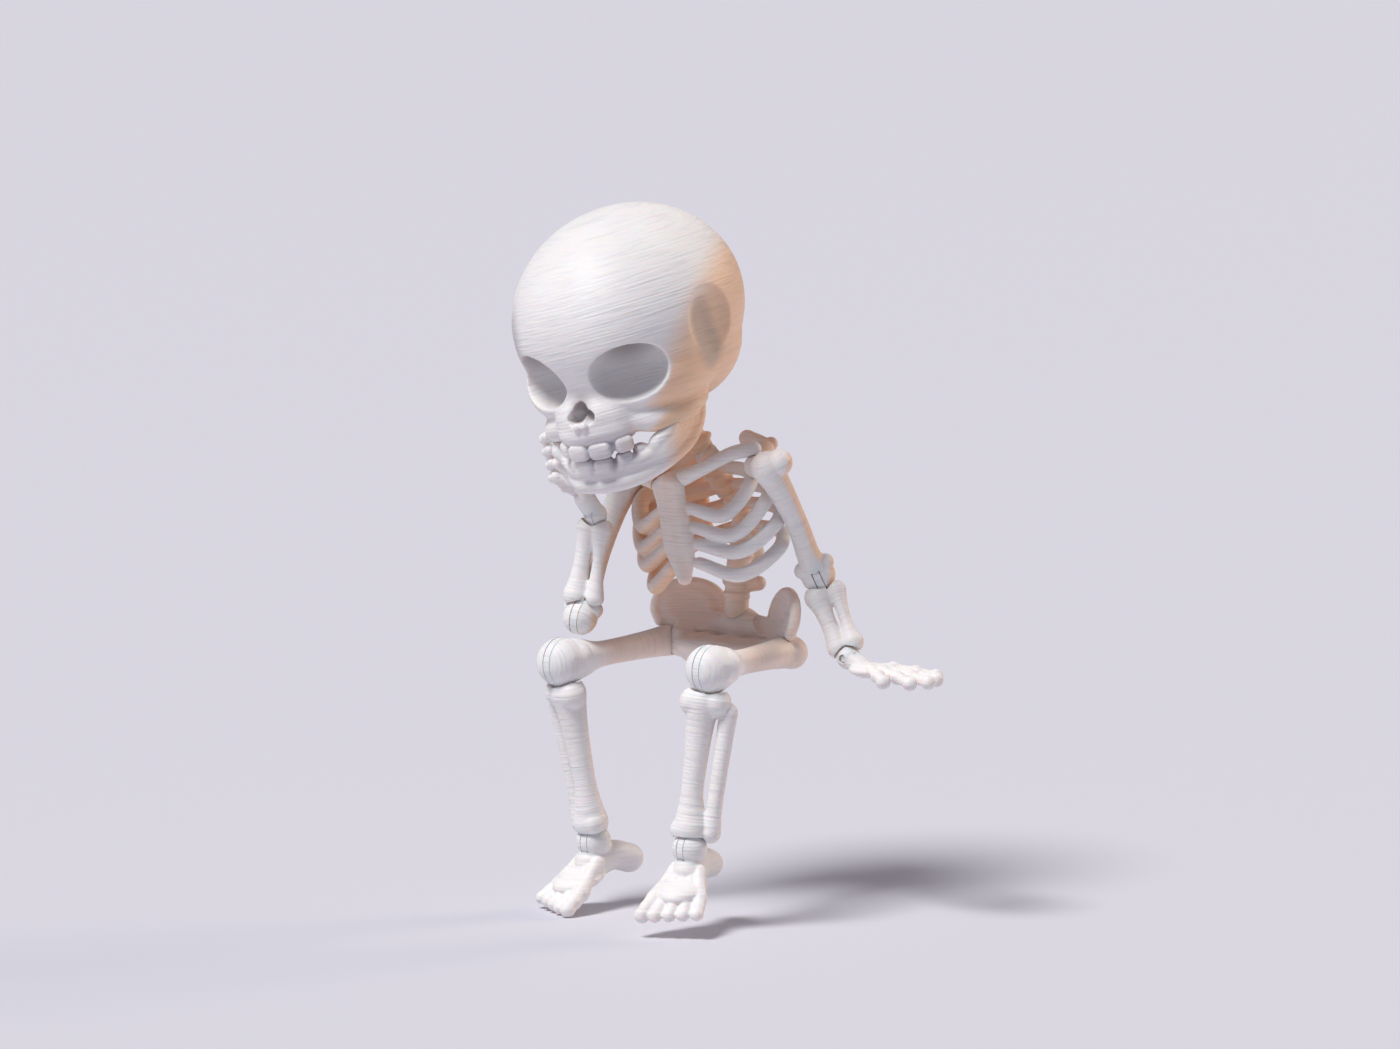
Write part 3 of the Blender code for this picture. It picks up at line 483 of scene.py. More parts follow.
def peg_holes(pieces, start, end, thickness):
    """The hole of a round pin between two points, in each of the pieces."""
    along = (end - start).normalized()
    for piece in pieces:
        clay = Clay()
        add_tube(clay, [start - along * PIN_FIT, end + along * PIN_FIT], [thickness / 2 + PIN_FIT] * 2)
        carve(piece, clay)


# Skull

HEAD_FRAME = (
    Matrix.Translation(HEAD_CENTRE)
    @ Matrix.Rotation(HEAD_YAW, 4, "Z")
    @ Matrix.Rotation(-HEAD_ROLL, 4, "Y")
    @ Matrix.Rotation(HEAD_PITCH, 4, "X")
)
# The face is turned a little further than the CAD's, and the lower skull is fuller.
FACE_TURN = math.radians(-3)
FACE_FRAME = HEAD_FRAME @ Matrix.Rotation(FACE_TURN, 4, "Z")


def in_head(x, y, z):
    """A point of the head's own frame, in millimetres from the middle of the cranium."""
    return HEAD_FRAME @ place(x, y, z)


def in_face(x, y, z):
    """A point of the head's own frame, turned with the face."""
    return FACE_FRAME @ place(x, y, z)


def add_tooth(clay, x, y, z, width, height, facing):
    """A square tooth with rounded corners, facing that many degrees away from straight ahead."""
    frame = FACE_FRAME @ Matrix.Translation(place(x, y, z)) @ Matrix.Rotation(math.radians(facing), 4, "Z")
    add_ball(clay, place(0, 0, 0), (width / 2 * MM, 0.95 * MM, height / 2 * MM), frame, 32, 4.0)


def make_cranium():
    clay = Clay()
    add_ball(clay, place(0, 0, 0), CRANIUM, HEAD_FRAME, segments=96)
    add_ball(clay, place(0, -3.9, -5.9), (12.4 * MM, 11.4 * MM, 6.2 * MM), FACE_FRAME, 64, 2.3)
    add_ball(clay, place(0, -12.4, -9.1), (5.8 * MM, 4.8 * MM, 4.3 * MM), FACE_FRAME)
    add_ball(clay, place(0, 2.0, -9.5), (6.5 * MM, 8.0 * MM, 4.6 * MM), HEAD_FRAME)
    for side in (-1, 1):
        add_ball(clay, place(side * 5.6, 0.6, -5.0), (7.2 * MM, 9.6 * MM, 7.3 * MM), HEAD_FRAME)
        cheek = [
            in_face(side * 4.6, -13.2, -9.9),
            in_face(side * 7.3, -11.5, -10.8),
            in_face(side * 9.0, -8.0, -11.0),
            in_face(side * 9.4, -4.5, -10.4),
        ]
        add_rod(clay, cheek, [1.4 * MM, 1.6 * MM, 1.6 * MM, 1.5 * MM])
    gums = ((-4.4, -13.2), (-3.0, -15.3), (0, -16.2), (3.0, -15.3), (4.4, -13.2))
    add_rod(clay, [in_face(x, y, -10.4) for x, y in gums], 1.4 * MM)
    piece = new_piece("cranium_fine", clay)
    fuse(piece, SKIN, 30)
    hollows = Clay()
    for side in (-1, 1):
        turn = Matrix.Rotation(side * math.radians(16), 4, "Z") @ Matrix.Rotation(math.radians(2), 4, "X")
        frame = FACE_FRAME @ Matrix.Translation(place(side * 6.8, -14.3, -3.8)) @ turn
        add_ball(hollows, place(0, 0, 0), (4.95 * MM, 6.3 * MM, 3.6 * MM), frame, 64, 2.15)
        tilt = Matrix.Rotation(math.radians(12), 4, "X")
        temple = HEAD_FRAME @ Matrix.Translation(place(side * 15.6, -5.2, -3.0)) @ tilt
        add_ball(hollows, place(0, 0, 0), (3.7 * MM, 6.4 * MM, 8.6 * MM), temple, 64)
        add_ball(hollows, place(side * 7.0, -8.8, -13.9), (2.2 * MM, 3.4 * MM, 1.8 * MM), HEAD_FRAME)
    carve(piece, hollows)
    fuse(piece, SKIN, 12)
    nose = Clay()
    top = in_face(0, -18.4, -6.1)
    for side in (-1, 1):
        add_rod(nose, [top, in_face(side * 1.45, -18.2, -8.3)], [0.55 * MM, 0.8 * MM])
        add_rod(nose, [in_face(0, -15.4, -6.9), in_face(side * 1.1, -15.2, -8.1)], [0.7 * MM, 0.8 * MM])
        add_ball(nose, place(side * 0.9, -16.8, -8.0), (1.1 * MM, 2.2 * MM, 0.95 * MM), FACE_FRAME)
    add_ball(nose, place(0, -16.8, -7.3), (1.15 * MM, 2.2 * MM, 1.3 * MM), FACE_FRAME)
    carve_soft(piece, nose, FINE_SKIN, 4)
    clay = Clay()
    for side in (-1, 1):
        add_tooth(clay, side * 1.5, -16.6, -12.4, 2.9, 2.1, side * 9)
        add_tooth(clay, side * 4.0, -15.1, -12.3, 2.4, 2.0, side * 46)
        add_rod(clay, [in_face(side * 0.5, -17.3, -8.9), in_face(side * 0.6, -16.9, -10.0)], 0.5 * MM)
    attach(piece, clay, FINE_SKIN)
    fuse(piece, FINE_SKIN, 2)
    return piece


def make_jaw():
    clay = Clay()
    for side in (-1, 1):
        lower = [
            in_face(0, -15.9, -17.1),
            in_face(side * 3.4, -15.0, -17.0),
            in_face(side * 6.1, -12.0, -16.5),
            in_head(side * 7.7, -8.2, -15.2),
            in_head(side * 8.4, -5.2, -13.2),
            in_head(side * 8.5, -3.8, -10.4),
            in_head(side * 8.5, -3.5, -7.9),
        ]
        add_rod(clay, lower, [1.1 * MM, 1.1 * MM, 1.1 * MM, 1.1 * MM, 1.0 * MM, 0.95 * MM, 1.0 * MM])
        upper = [
            in_face(0, -15.9, -15.4),
            in_face(side * 3.5, -14.9, -15.2),
            in_face(side * 6.2, -12.6, -14.4),
            in_face(side * 7.2, -12.5, -13.3),
            in_head(side * 7.8, -11.4, -12.4),
            in_head(side * 8.2, -9.4, -10.6),
        ]
        add_rod(clay, upper, [1.1 * MM, 1.1 * MM, 1.05 * MM, 1.0 * MM, 0.9 * MM, 0.8 * MM])
        for share in (0.2, 0.4, 0.6, 0.8):
            plate = [low.lerp(high, share) for low, high in zip(lower[:6], upper)]
            add_rod(clay, plate, [0.8 * MM, 0.8 * MM, 0.85 * MM, 0.85 * MM, 0.8 * MM, 0.75 * MM])
    piece = new_piece("jaw_fine", clay)
    fuse(piece, SKIN, 4)
    clay = Clay()
    for side in (-1, 1):
        add_tooth(clay, side * 1.25, -16.3, -14.5, 2.35, 2.2, side * 8)
        add_tooth(clay, side * 3.5, -15.0, -14.4, 2.1, 2.1, side * 42)
        add_tooth(clay, side * 4.9, -13.2, -14.0, 1.6, 1.8, side * 62)
    attach(piece, clay, FINE_SKIN)
    fuse(piece, FINE_SKIN, 1)
    return piece


# Trunk

CHEST_FRAME = (
    Matrix.Translation(BREASTBONE_CENTRE)
    @ Matrix.Rotation(-CHEST_ROLL, 4, "Y")
    @ Matrix.Rotation(CHEST_LEAN, 4, "X")
)


def in_chest(x, y, z):
    """A point of the chest's own frame, in metres from the middle of the breastbone."""
    return CHEST_FRAME @ Vector((x, y, z))


def rib_points(side, half_width, half_depth, at_spine, at_side, lowest, at_front):
    """From the spine round the side to the breastbone."""
    points = []
    marks = (
        (8, at_spine),
        (46, (at_spine + at_side) / 2 + 0.4 * MM),
        (88, at_side),
        (136, lowest),
        (170, at_front),
    )
    for degrees, height in marks:
        turn = math.radians(degrees)
        across = side * half_width * math.sin(turn) ** 0.85
        points.append(in_chest(across, half_depth * (1 + math.cos(turn)), height))
    return points


def spine_points():
    """Where each rib pair meets the spine, from the top down."""
    return [in_chest(0, 2 * pair[1], pair[2]) for pair in RIB_PAIRS]


def make_rib_cage():
    clay = Clay()
    thick = RIB / 2
    for pair in RIB_PAIRS:
        for side in (-1, 1):
            full = thick * (1.16 if side < 0 else 0.97)
            add_rod(clay, rib_points(side, *pair), [full * 0.9, full, full, full * 1.02, full * 0.88])
    column = spine_points()
    below = column[-1] + (column[-1] - column[-2]) * 0.5
    backbone = [NECK_ROOT - (NECK_TOP - NECK_ROOT) * 0.1, *column, below]
    add_rod(clay, backbone, SPINE / 2 * 0.84)
    for start, end in zip(backbone, backbone[1:]):
        for share in (0.25, 0.75):
            level = frame_towards(start.lerp(end, share), end - start)
            add_ball(clay, place(0, 0, 0), (SPINE / 2, SPINE / 2, 0.62 * MM), level)
        spur = start.lerp(end, 0.5)
        spur_tip = spur + in_chest(0, 2.0 * MM, -0.7 * MM) - in_chest(0, 0, 0)
        add_rod(clay, [spur, spur_tip], [0.8 * MM, 0.55 * MM])
    piece = new_piece("rib_cage_fine", clay)
    fuse(piece, FINE_SKIN, 2)
    clay = Clay()
    edge = 1.0 * MM
    for step in range(7):
        offset = (step - 3) / 3
        across = offset * (STERNUM_WIDTH / 2 - edge)
        lift = -0.75 * MM + 0.18 * MM * abs(offset)
        marks = [
            in_chest(across * 1.12, lift, STERNUM_TOP - 0.5 * MM * abs(offset)),
            in_chest(across * 0.92, lift, 2.6 * MM),
            in_chest(across, lift, -2.0 * MM),
            in_chest(across * 0.35, lift, STERNUM_FOOT + abs(offset) * 1.4 * MM),
        ]
        add_rod(clay, marks, [edge, edge * 0.95, edge, edge * 0.95])
    attach(piece, clay, FINE_SKIN)
    fuse(piece, FINE_SKIN, 2)
    return piece


def chest_seam_line():
    """Where the rib cage's backbone ends on the lumbar column, and the direction of its peg."""
    column = spine_points()
    down = (column[-1] - column[-2]).normalized()
    return column[-1] + (column[-1] - column[-2]) * 0.5 + down * SPINE / 2, down


def make_lumbar():
    clay = Clay()
    # This spur covers the lower half of the chest pin, which the CAD's column leaves mostly bare.
    seam, down = chest_seam_line()
    add_rod(clay, [seam, seam + down * 1.9 * MM], [1.25 * MM, 1.05 * MM])
    top = spine_points()[-1]
    middle = WAIST.lerp(top, 0.5) + place(0, -0.6, 0)
    add_rod(clay, [WAIST, middle, top], SPINE / 2 * 0.96)
    for share in (0.18, 0.42, 0.66):
        level = frame_towards(WAIST.lerp(top, share) + place(0, -0.4, 0), top - WAIST)
        add_ball(clay, place(0, 0, 0), (SPINE / 2 * 1.12, SPINE / 2 * 1.12, 0.75 * MM), level)
    level = WAIST.lerp(top, 0.3)
    for side in (-1, 1):
        add_rod(clay, [level, level + place(side * 2.3, 1.0, 0.3)], [1.1 * MM, 0.95 * MM])
    piece = new_piece("lumbar_fine", clay)
    fuse(piece, FINE_SKIN, 2)
    return piece


def make_neck():
    clay = Clay()
    add_rod(clay, [NECK_ROOT, NECK_ROOT.lerp(NECK_TOP, 0.5), NECK_TOP], NECK_COLUMN / 2 * 0.85)
    half = NECK_COLUMN * 0.62
    for share in (0.15, 0.42, 0.68):
        level = frame_towards(NECK_ROOT.lerp(NECK_TOP, share), NECK_TOP - NECK_ROOT)
        add_ball(clay, place(0, 0, 0), (half, half, 0.72 * MM), level)
    add_ball(clay, NECK_TOP, NECK_BALL / 2)
    piece = new_piece("neck_fine", clay)
    fuse(piece, FINE_SKIN, 2)
    return piece


def make_collarbone(side, name):
    clay = Clay()
    inner = in_chest(side * 0.5 * STERNUM_WIDTH, -0.2 * MM, STERNUM_TOP)
    outer = in_chest(side * 9.6 * MM, 5.4 * MM, 8.0 * MM)
    first = inner.lerp(outer, 0.35) + in_chest(0, -1.1 * MM, 0.1 * MM) - in_chest(0, 0, 0)
    second = inner.lerp(outer, 0.72) + in_chest(0, -0.5 * MM, 0.5 * MM) - in_chest(0, 0, 0)
    add_rod(clay, [inner, first, second, outer], [1.0 * MM, 0.85 * MM, 0.9 * MM, 1.0 * MM])
    piece = new_piece(name, clay)
    fuse(piece, FINE_SKIN, 2)
    return piece


def make_blade(side, shoulder, name):
    """A flat triangle behind the ribs, with the arm's socket at its outer corner."""
    clay = Clay()
    radius = 0.75 * MM
    corner = in_chest(side * 4.1 * MM, 11.6 * MM, 9.0 * MM)
    outer = in_chest(side * 7.8 * MM, 9.8 * MM, 7.6 * MM)
    tip = in_chest(side * 6.7 * MM, 14.2 * MM, -2.4 * MM)
    rows = 13
    for index in range(rows):
        share = index / rows
        add_rod(clay, [corner.lerp(tip, share), outer.lerp(tip, share)], radius)
    socket = shoulder + SOCKET_OFFSET * Vector((side, 1, 1))
    add_rod(clay, [corner, outer, socket], [1.1 * MM, 1.2 * MM, 1.5 * MM])
    add_rod(clay, [corner - place(0, 0, 1.3), outer - place(0, 0, 1.3)], 0.9 * MM)
    spine = [
        corner.lerp(tip, 0.28) + place(0, 0.7, 0),
        corner.lerp(outer, 0.6) + place(0, 1.5, -1.2),
        outer + place(side * 0.4, 0.9, 0.5),
    ]
    add_rod(clay, spine, [0.5 * MM, 0.75 * MM, 0.9 * MM])
    piece = new_piece(name, clay)
    fuse(piece, FINE_SKIN, 4)
    return piece


# Pelvis

def wing_frame(side):
    centre = Vector((side * WING_CENTRE.x, WING_CENTRE.y, WING_CENTRE.z))
    facing = Matrix.Rotation(-side * math.radians(36), 4, "Z") @ Matrix.Rotation(math.radians(-12), 4, "X")
    return Matrix.Translation(centre) @ facing


def make_pelvis():
    clay = Clay()
    add_ball(clay, WAIST + place(0, 0.8, -2.4), (3.4 * MM, 2.2 * MM, 2.8 * MM))
    tail = place(0, 0.2, 1.0)
    add_rod(clay, [WAIST + place(0, 1.4, -2.6), place(0, 2.6, 2.0), tail], [2.2 * MM, 1.7 * MM, 1.5 * MM])
    for side in (-1, 1):
        hip = HIPS["left" if side > 0 else "right"]
        wing = wing_frame(side)
        add_ball(clay, place(0, 0, 0), (4.6 * MM, 1.0 * MM, 3.5 * MM), wing)
        rim = []
        for step in range(9):
            turn = math.radians(-30 + 30 * step)
            rim.append(wing @ place(4.3 * math.cos(turn), 0, 3.2 * math.sin(turn)))
        add_rod(clay, rim, 0.75 * MM)
        centre = wing.translation
        seat = hip - place(side * 1.6, 0, 0)
        root = WAIST + place(side * 2.0, 0.8, -2.2)
        add_rod(clay, [root, centre - place(0, 0, 2.0), seat], [1.8 * MM, 1.5 * MM, 2.1 * MM])
        front = [seat, place(side * 4.2, -2.8, 2.4), place(0, -3.5, 2.6)]
        add_rod(clay, front, [1.35 * MM, 0.95 * MM, 1.05 * MM])
        pad = place(side * 4.6, -1.0, 1.3)
        add_rod(clay, [seat, pad, place(side * 2.6, -3.2, 2.4)], [1.4 * MM, 1.5 * MM, 0.95 * MM])
        add_ball(clay, place(side * 3.8, -0.6, 2.5), (2.7 * MM, 2.4 * MM, 1.2 * MM))
    add_ball(clay, place(0, -1.0, 2.3), (4.0 * MM, 2.8 * MM, 1.4 * MM))
    piece = new_piece("pelvis_fine", clay)
    fuse(piece, FINE_SKIN, 8)
    hollows = Clay()
    for side in (-1, 1):
        add_ball(hollows, place(0, -2.1, 0.3), (4.3 * MM, 1.6 * MM, 3.3 * MM), wing_frame(side))
    carve(piece, hollows)
    fuse(piece, FINE_SKIN, 5)
    return piece


def flatten_seat(piece):
    """Cuts the underside off at the plane that the figure sits on."""
    ground = Clay()
    half = 30 * MM
    square = ((-half, -half), (half, -half), (half, half), (-half, half))
    add_prism(ground, square, 2 * half, Matrix.Translation((0, 0, -half)))
    carve(piece, ground)


# Limbs

def make_thigh(name, hip, knee):
    clay = Clay()
    outward = math.copysign(1.0, hip.x)
    along = (knee - hip).normalized()
    shaft = [
        hip,
        hip.lerp(knee, 0.3),
        hip.lerp(knee, 0.65),
        knee - along * 3.6 * MM,
        knee - along * 1.5 * MM,
    ]
    add_rod(clay, shaft, [2.05 * MM, 1.7 * MM, 1.65 * MM, 2.4 * MM, 2.8 * MM])
    for side in (-1, 1):
        add_ball(clay, knee + place(side * 1.3, 1.5, 0.4), 2.0 * MM)
    add_ball(clay, hip + place(outward * 0.5, 0.8, -0.1), 2.1 * MM)
    add_ball(clay, knee, KNEE_BALL / 2)
    piece = new_piece(name, clay)
    fuse(piece, SKIN, 4)
    groove = Clay()
    middle = Matrix.Translation(knee)
    add_ball(groove, place(0, -3.3, -1.9), (0.42 * MM, 1.5 * MM, 2.0 * MM), middle)
    for side in (-1, 1):
        add_ball(groove, place(side * 3.75, -1.2, -0.2), (1.0 * MM, 2.2 * MM, 2.2 * MM), middle)
    carve_soft(piece, groove, FINE_SKIN, 2)
    fuse(piece, FINE_SKIN, 4)
    return piece


def make_shin(name, knee, ankle):
    clay = Clay()
    outward = math.copysign(1.0, knee.x)
    along = (ankle - knee).normalized()
    across = Vector((outward * 0.94, 0.34, 0))
    plateau = knee + along * (KNEE_BALL / 2 + 0.9 * MM)
    foot_end = ankle - along * (ANKLE_BALL / 2 + 0.3 * MM)
    shaft = [
        plateau - across * 0.4 * MM,
        plateau.lerp(foot_end, 0.18) - across * 0.5 * MM,
        plateau.lerp(foot_end, 0.45) - across * 0.5 * MM,
        plateau.lerp(foot_end, 0.75) - across * 0.5 * MM,
        foot_end - across * 0.2 * MM,
    ]
    add_rod(clay, shaft, [2.3 * MM, 1.8 * MM, 1.5 * MM, 1.45 * MM, 2.25 * MM])
    for side in (-1, 1):
        add_ball(clay, plateau + across * side * 1.45 * MM + place(0, -0.2, 0), 1.85 * MM)
    add_ball(clay, foot_end - across * 1.1 * MM + place(0, -0.4, -0.1), 1.45 * MM)
    piece = new_piece(name, clay)
    fuse(piece, SKIN, 7)
    clay = Clay()
    head = plateau + across * 2.65 * MM + place(0, 0.3, -1.3)
    ankle_bone = foot_end + across * 2.25 * MM + place(0, 0.2, -0.5)
    fibula = [head, *(head.lerp(ankle_bone, share) for share in (0.2, 0.5, 0.8)), ankle_bone]
    add_rod(clay, fibula, [1.2 * MM, 1.08 * MM, 1.0 * MM, 1.0 * MM, 1.3 * MM])
    attach(piece, clay, FINE_SKIN)
    fuse(piece, FINE_SKIN, 3)
    return piece


def make_foot(name, ankle):
    outward = math.copysign(1.0, ankle.x)
    frame = (
        Matrix.Translation(ankle)
        @ Matrix.Rotation(outward * FOOT_SPLAY, 4, "Z")
        @ Matrix.Rotation(FOOT_PITCH, 4, "X")
    )
    clay = Clay()
    add_ball(clay, ankle, ANKLE_BALL / 2)
    instep = [frame @ place(0, 4.6, -4.3), frame @ place(0, 2.0, -2.8), frame @ place(0, -1.2, -2.6)]
    add_rod(clay, instep, [1.85 * MM, 1.9 * MM, 2.1 * MM])
    add_ball(clay, place(0, -3.6, -3.7), (3.1 * MM, 3.6 * MM, 1.25 * MM), frame)
    piece = new_piece(name, clay)
    fuse(piece, SKIN, 4)
    clay = Clay()
    for index in range(5):
        inner = -outward * (index - 2)
        reach = 9.0 - 0.42 * index - (0.3 if index == 0 else 0)
        big = 1.18 if index == 0 else 1.0
        root = frame @ place(-inner * 0.75, -1.4, -2.2)
        knuckle = frame @ place(-inner * 1.42, -reach * 0.66, -4.3)
        bend = frame @ place(-inner * 1.6, -reach * 0.85, -4.75)
        tip = frame @ place(-inner * 1.7, -reach, -5.15)
        bone = [root, root.lerp(knuckle, 0.5) + place(0, 0, 0.1), knuckle]
        add_rod(clay, bone, [0.95 * MM, 0.8 * MM, 0.95 * MM * big])
        add_rod(clay, [knuckle, bend, tip], [0.85 * MM * big, 0.8 * MM * big, 0.75 * MM * big])
        add_ball(clay, bend, 0.84 * MM * big)
        add_ball(clay, tip, 0.84 * MM * big)
    attach(piece, clay, FINE_SKIN)
    fuse(piece, FINE_SKIN, 3)
    return piece


def make_upper_arm(name, shoulder, elbow, fold):
    clay = Clay()
    outward = math.copysign(1.0, shoulder.x)
    along = (elbow - shoulder).normalized()
    add_ball(clay, shoulder, SHOULDER_BALL / 2)
    add_ball(clay, shoulder + place(outward * 1.4, 0.6, 0.7), SHOULDER_BALL / 2 * 0.8)
    shaft = [
        shoulder,
        shoulder.lerp(elbow, 0.22) + place(outward * 0.5, 0, 0),
        shoulder.lerp(elbow, 0.55) + place(outward * 0.5, 0, 0),
        elbow - along * ELBOW_BALL * 0.75,
        elbow - along * ELBOW_BALL * 0.3,
    ]
    add_rod(clay, shaft, [2.0 * MM, 1.6 * MM, 1.4 * MM, 1.5 * MM, 1.8 * MM])
    add_ball(clay, elbow, ELBOW_BALL / 2)
    for side in (-1, 1):
        add_ball(clay, elbow - along * 1.3 * MM + fold * side * 1.5 * MM, 1.1 * MM)
    piece = new_piece(name, clay)
    fuse(piece, FINE_SKIN, 5)
    return piece


def make_forearm(name, elbow, wrist, across):
    clay = Clay()
    along = (wrist - elbow).normalized()
    top = elbow + along * (ELBOW_BALL / 2 + 0.5 * MM)
    end = wrist - along * (WRIST_BALL / 2 + 0.2 * MM)
    for offset, ends, middle in ((-1.0, 1.7, 1.05), (1.5, 1.25, 0.78)):
        start = top + across * offset * MM
        finish = end + across * offset * 0.75 * MM
        marks = [start, start.lerp(finish, 0.3), start.lerp(finish, 0.65), finish]
        add_rod(clay, marks, [ends * MM, middle * 1.1 * MM, middle * MM, 1.45 * MM])
    piece = new_piece(name, clay)
    fuse(piece, FINE_SKIN, 4)
    return piece


def add_finger(clay, points, radius):
    """Bones between the points, thin in the middle and knobbed at the joints."""
    for start, end in zip(points, points[1:]):
        add_rod(clay, [start, start.lerp(end, 0.5), end], [radius, radius * 0.82, radius], steps=4)
    for point in points[1:]:
        add_ball(clay, point, radius * 1.16)


def make_left_hand():
    """Flat on the ground beside the hip, with the fingers spread."""
    clay = Clay()
    wrist = WRISTS["left"]
    add_ball(clay, wrist, WRIST_BALL / 2)
    palm = place(20.2, 1.3, 1.2)
    add_rod(clay, [wrist, palm], [1.3 * MM, 1.2 * MM])
    tips = (
        place(26.6, -3.2, 0.68),
        place(30.0, -2.3, 0.68),
        place(31.2, -0.1, 0.68),
        place(30.8, 2.1, 0.68),
        place(29.2, 4.2, 0.68),
    )
    for tip in tips:
        knuckle = palm.lerp(tip, 0.42) + place(0, 0, 0.4)
        bend = palm.lerp(tip, 0.73) + place(0, 0, 0.25)
        add_finger(clay, [palm, knuckle, bend, tip], 0.8 * MM)
    add_ball(clay, palm + place(1.7, -0.6, 0), (3.0 * MM, 2.4 * MM, 0.95 * MM))
    piece = new_piece("left_hand_fine", clay)
    fuse(piece, FINE_SKIN, 1)
    return piece


def make_right_hand():
    """A fist on its edge, with the finger joints stacked against the cheek."""
    clay = Clay()
    wrist = WRISTS["right"]
    add_ball(clay, wrist, WRIST_BALL / 2)
    heel = wrist + place(-0.7, -1.2, 2.1)
    add_rod(clay, [wrist, heel], [1.3 * MM, 1.35 * MM])
    for index in range(4):
        knuckle = place(-15.7 + 0.25 * index, -16.9 + 0.3 * index, 28.9 - 1.65 * index)
        first = knuckle + place(1.5, -1.3, 0.5)
        second = knuckle + place(3.0, -0.5, -0.1)
        bones = [heel, heel.lerp(knuckle, 0.5) + place(-0.5, 0, 0), knuckle, first, second]
        add_finger(clay, bones, 0.6 * MM)
    thumb = [heel, heel + place(1.2, -2.6, 1.6), heel + place(1.0, -4.4, 3.4), heel + place(0.0, -5.6, 5.0)]
    add_finger(clay, thumb, 0.62 * MM)
    piece = new_piece("right_hand_fine", clay)
    fuse(piece, FINE_SKIN, 1)
    return piece


# Assembly

cranium = make_cranium()
jaw = make_jaw()
rib_cage = make_rib_cage()
pelvis = make_pelvis()
lumbar = make_lumbar()
neck = make_neck()
keep_clear(cranium, jaw, SEAM)
keep_largest(cranium)
keep_clear(lumbar, pelvis, SEAM)
keep_clear(lumbar, rib_cage, SEAM)
keep_clear(neck, rib_cage, SEAM)
for piece in (lumbar, neck):
    clean(piece)

pieces = {
    "cranium": cranium,
    "jaw": jaw,
    "rib_cage": rib_cage,
    "pelvis": pelvis,
    "lumbar_column": lumbar,
    "neck_column": neck,
}
elbow_axes = {}
for word, out in OUTWARDS.items():
    shoulder = SHOULDERS[word]
    elbow = ELBOWS[word]
    wrist = WRISTS[word]
    fold = (wrist - elbow).cross(elbow - shoulder).normalized()
    elbow_axes[word] = fold
    upper_arm = make_upper_arm(word + "_upper_arm_fine", shoulder, elbow, fold)
    blade = make_blade(out, shoulder, word + "_shoulder_blade_fine")
    collarbone = make_collarbone(out, word + "_collarbone_fine")
    keep_clear(blade, rib_cage, SEAM)
    keep_clear(blade, neck)
    keep_clear(collarbone, rib_cage, SEAM)
    keep_clear(collarbone, blade, SEAM)
    keep_clear(collarbone, upper_arm)
    forearm = make_forearm(word + "_forearm_fine", elbow, wrist, fold)
    keep_clear(forearm, upper_arm)
    thigh = make_thigh(word + "_thigh_fine", HIPS[word], KNEES[word])
    keep_clear(thigh, pelvis, SEAM)
    for piece in (blade, collarbone, forearm, thigh):
        clean(piece)
    pieces[word + "_upper_arm"] = upper_arm
    pieces[word + "_shoulder_blade"] = blade
    pieces[word + "_collarbone"] = collarbone
    pieces[word + "_forearm"] = forearm
    pieces[word + "_thigh"] = thigh
    pieces[word + "_shin"] = make_shin(word + "_shin_fine", KNEES[word], ANKLES[word])
    pieces[word + "_foot"] = make_foot(word + "_foot_fine", ANKLES[word])
pieces["left_hand"] = make_left_hand()
pieces["right_hand"] = make_right_hand()
for piece in (cranium, jaw):
    keep_clear(pieces["right_hand"], piece, 2 * GAP)
clean(pieces["right_hand"])

flatten_seat(pelvis)
carve(cranium, sphere_cutter(NECK_TOP, NECK_BALL / 2 + GAP))

for word, out in OUTWARDS.items():
    shoulder = SHOULDERS[word]
    socket = shoulder + SOCKET_OFFSET * Vector((out, 1, 1))
    axis = (shoulder - socket).normalized()
    blade = pieces[word + "_shoulder_blade"]
    upper_arm = pieces[word + "_upper_arm"]
    thigh = pieces[word + "_thigh"]
    shin = pieces[word + "_shin"]
    forearm = pieces[word + "_forearm"]
    carve(blade, sphere_cutter(shoulder, SHOULDER_BALL / 2 + GAP))
    peg_holes((blade, upper_arm), socket + axis * 0.2 * MM, shoulder + axis * 1.0 * MM, LIMB_PIN)
    hip_pin_start = HIPS[word] - ACROSS * out * 2.9 * MM
    peg_holes((pelvis, thigh), hip_pin_start, HIPS[word] + ACROSS * out * 1.1 * MM, BODY_PIN)
    peg_holes((jaw, cranium), in_head(out * 8.5, -4.4, -12.2), in_head(out * 8.5, -3.4, -8.0), LIMB_PIN)
    down = ANKLES[word] - KNEES[word]
    knee = Matrix.Translation(KNEES[word])
    # Room in the shin's cup for the thigh when the knee is bent back
    bent_back = knee @ Matrix.Rotation(-KNEE_BACK, 4, ACROSS) @ knee.inverted()
    keep_clear(shin, thigh, SLOT_FIT, bent_back)
    hinge(thigh, shin, KNEES[word], ACROSS, down, KNEE_BALL)
    hinge(pieces[word + "_foot"], shin, ANKLES[word], ACROSS, -down, ANKLE_BALL)
    reach = WRISTS[word] - ELBOWS[word]
    hinge(upper_arm, forearm, ELBOWS[word], elbow_axes[word], reach, ELBOW_BALL)
    hinge(pieces[word + "_hand"], forearm, WRISTS[word], WRIST_AXES[word], -reach, WRIST_BALL)

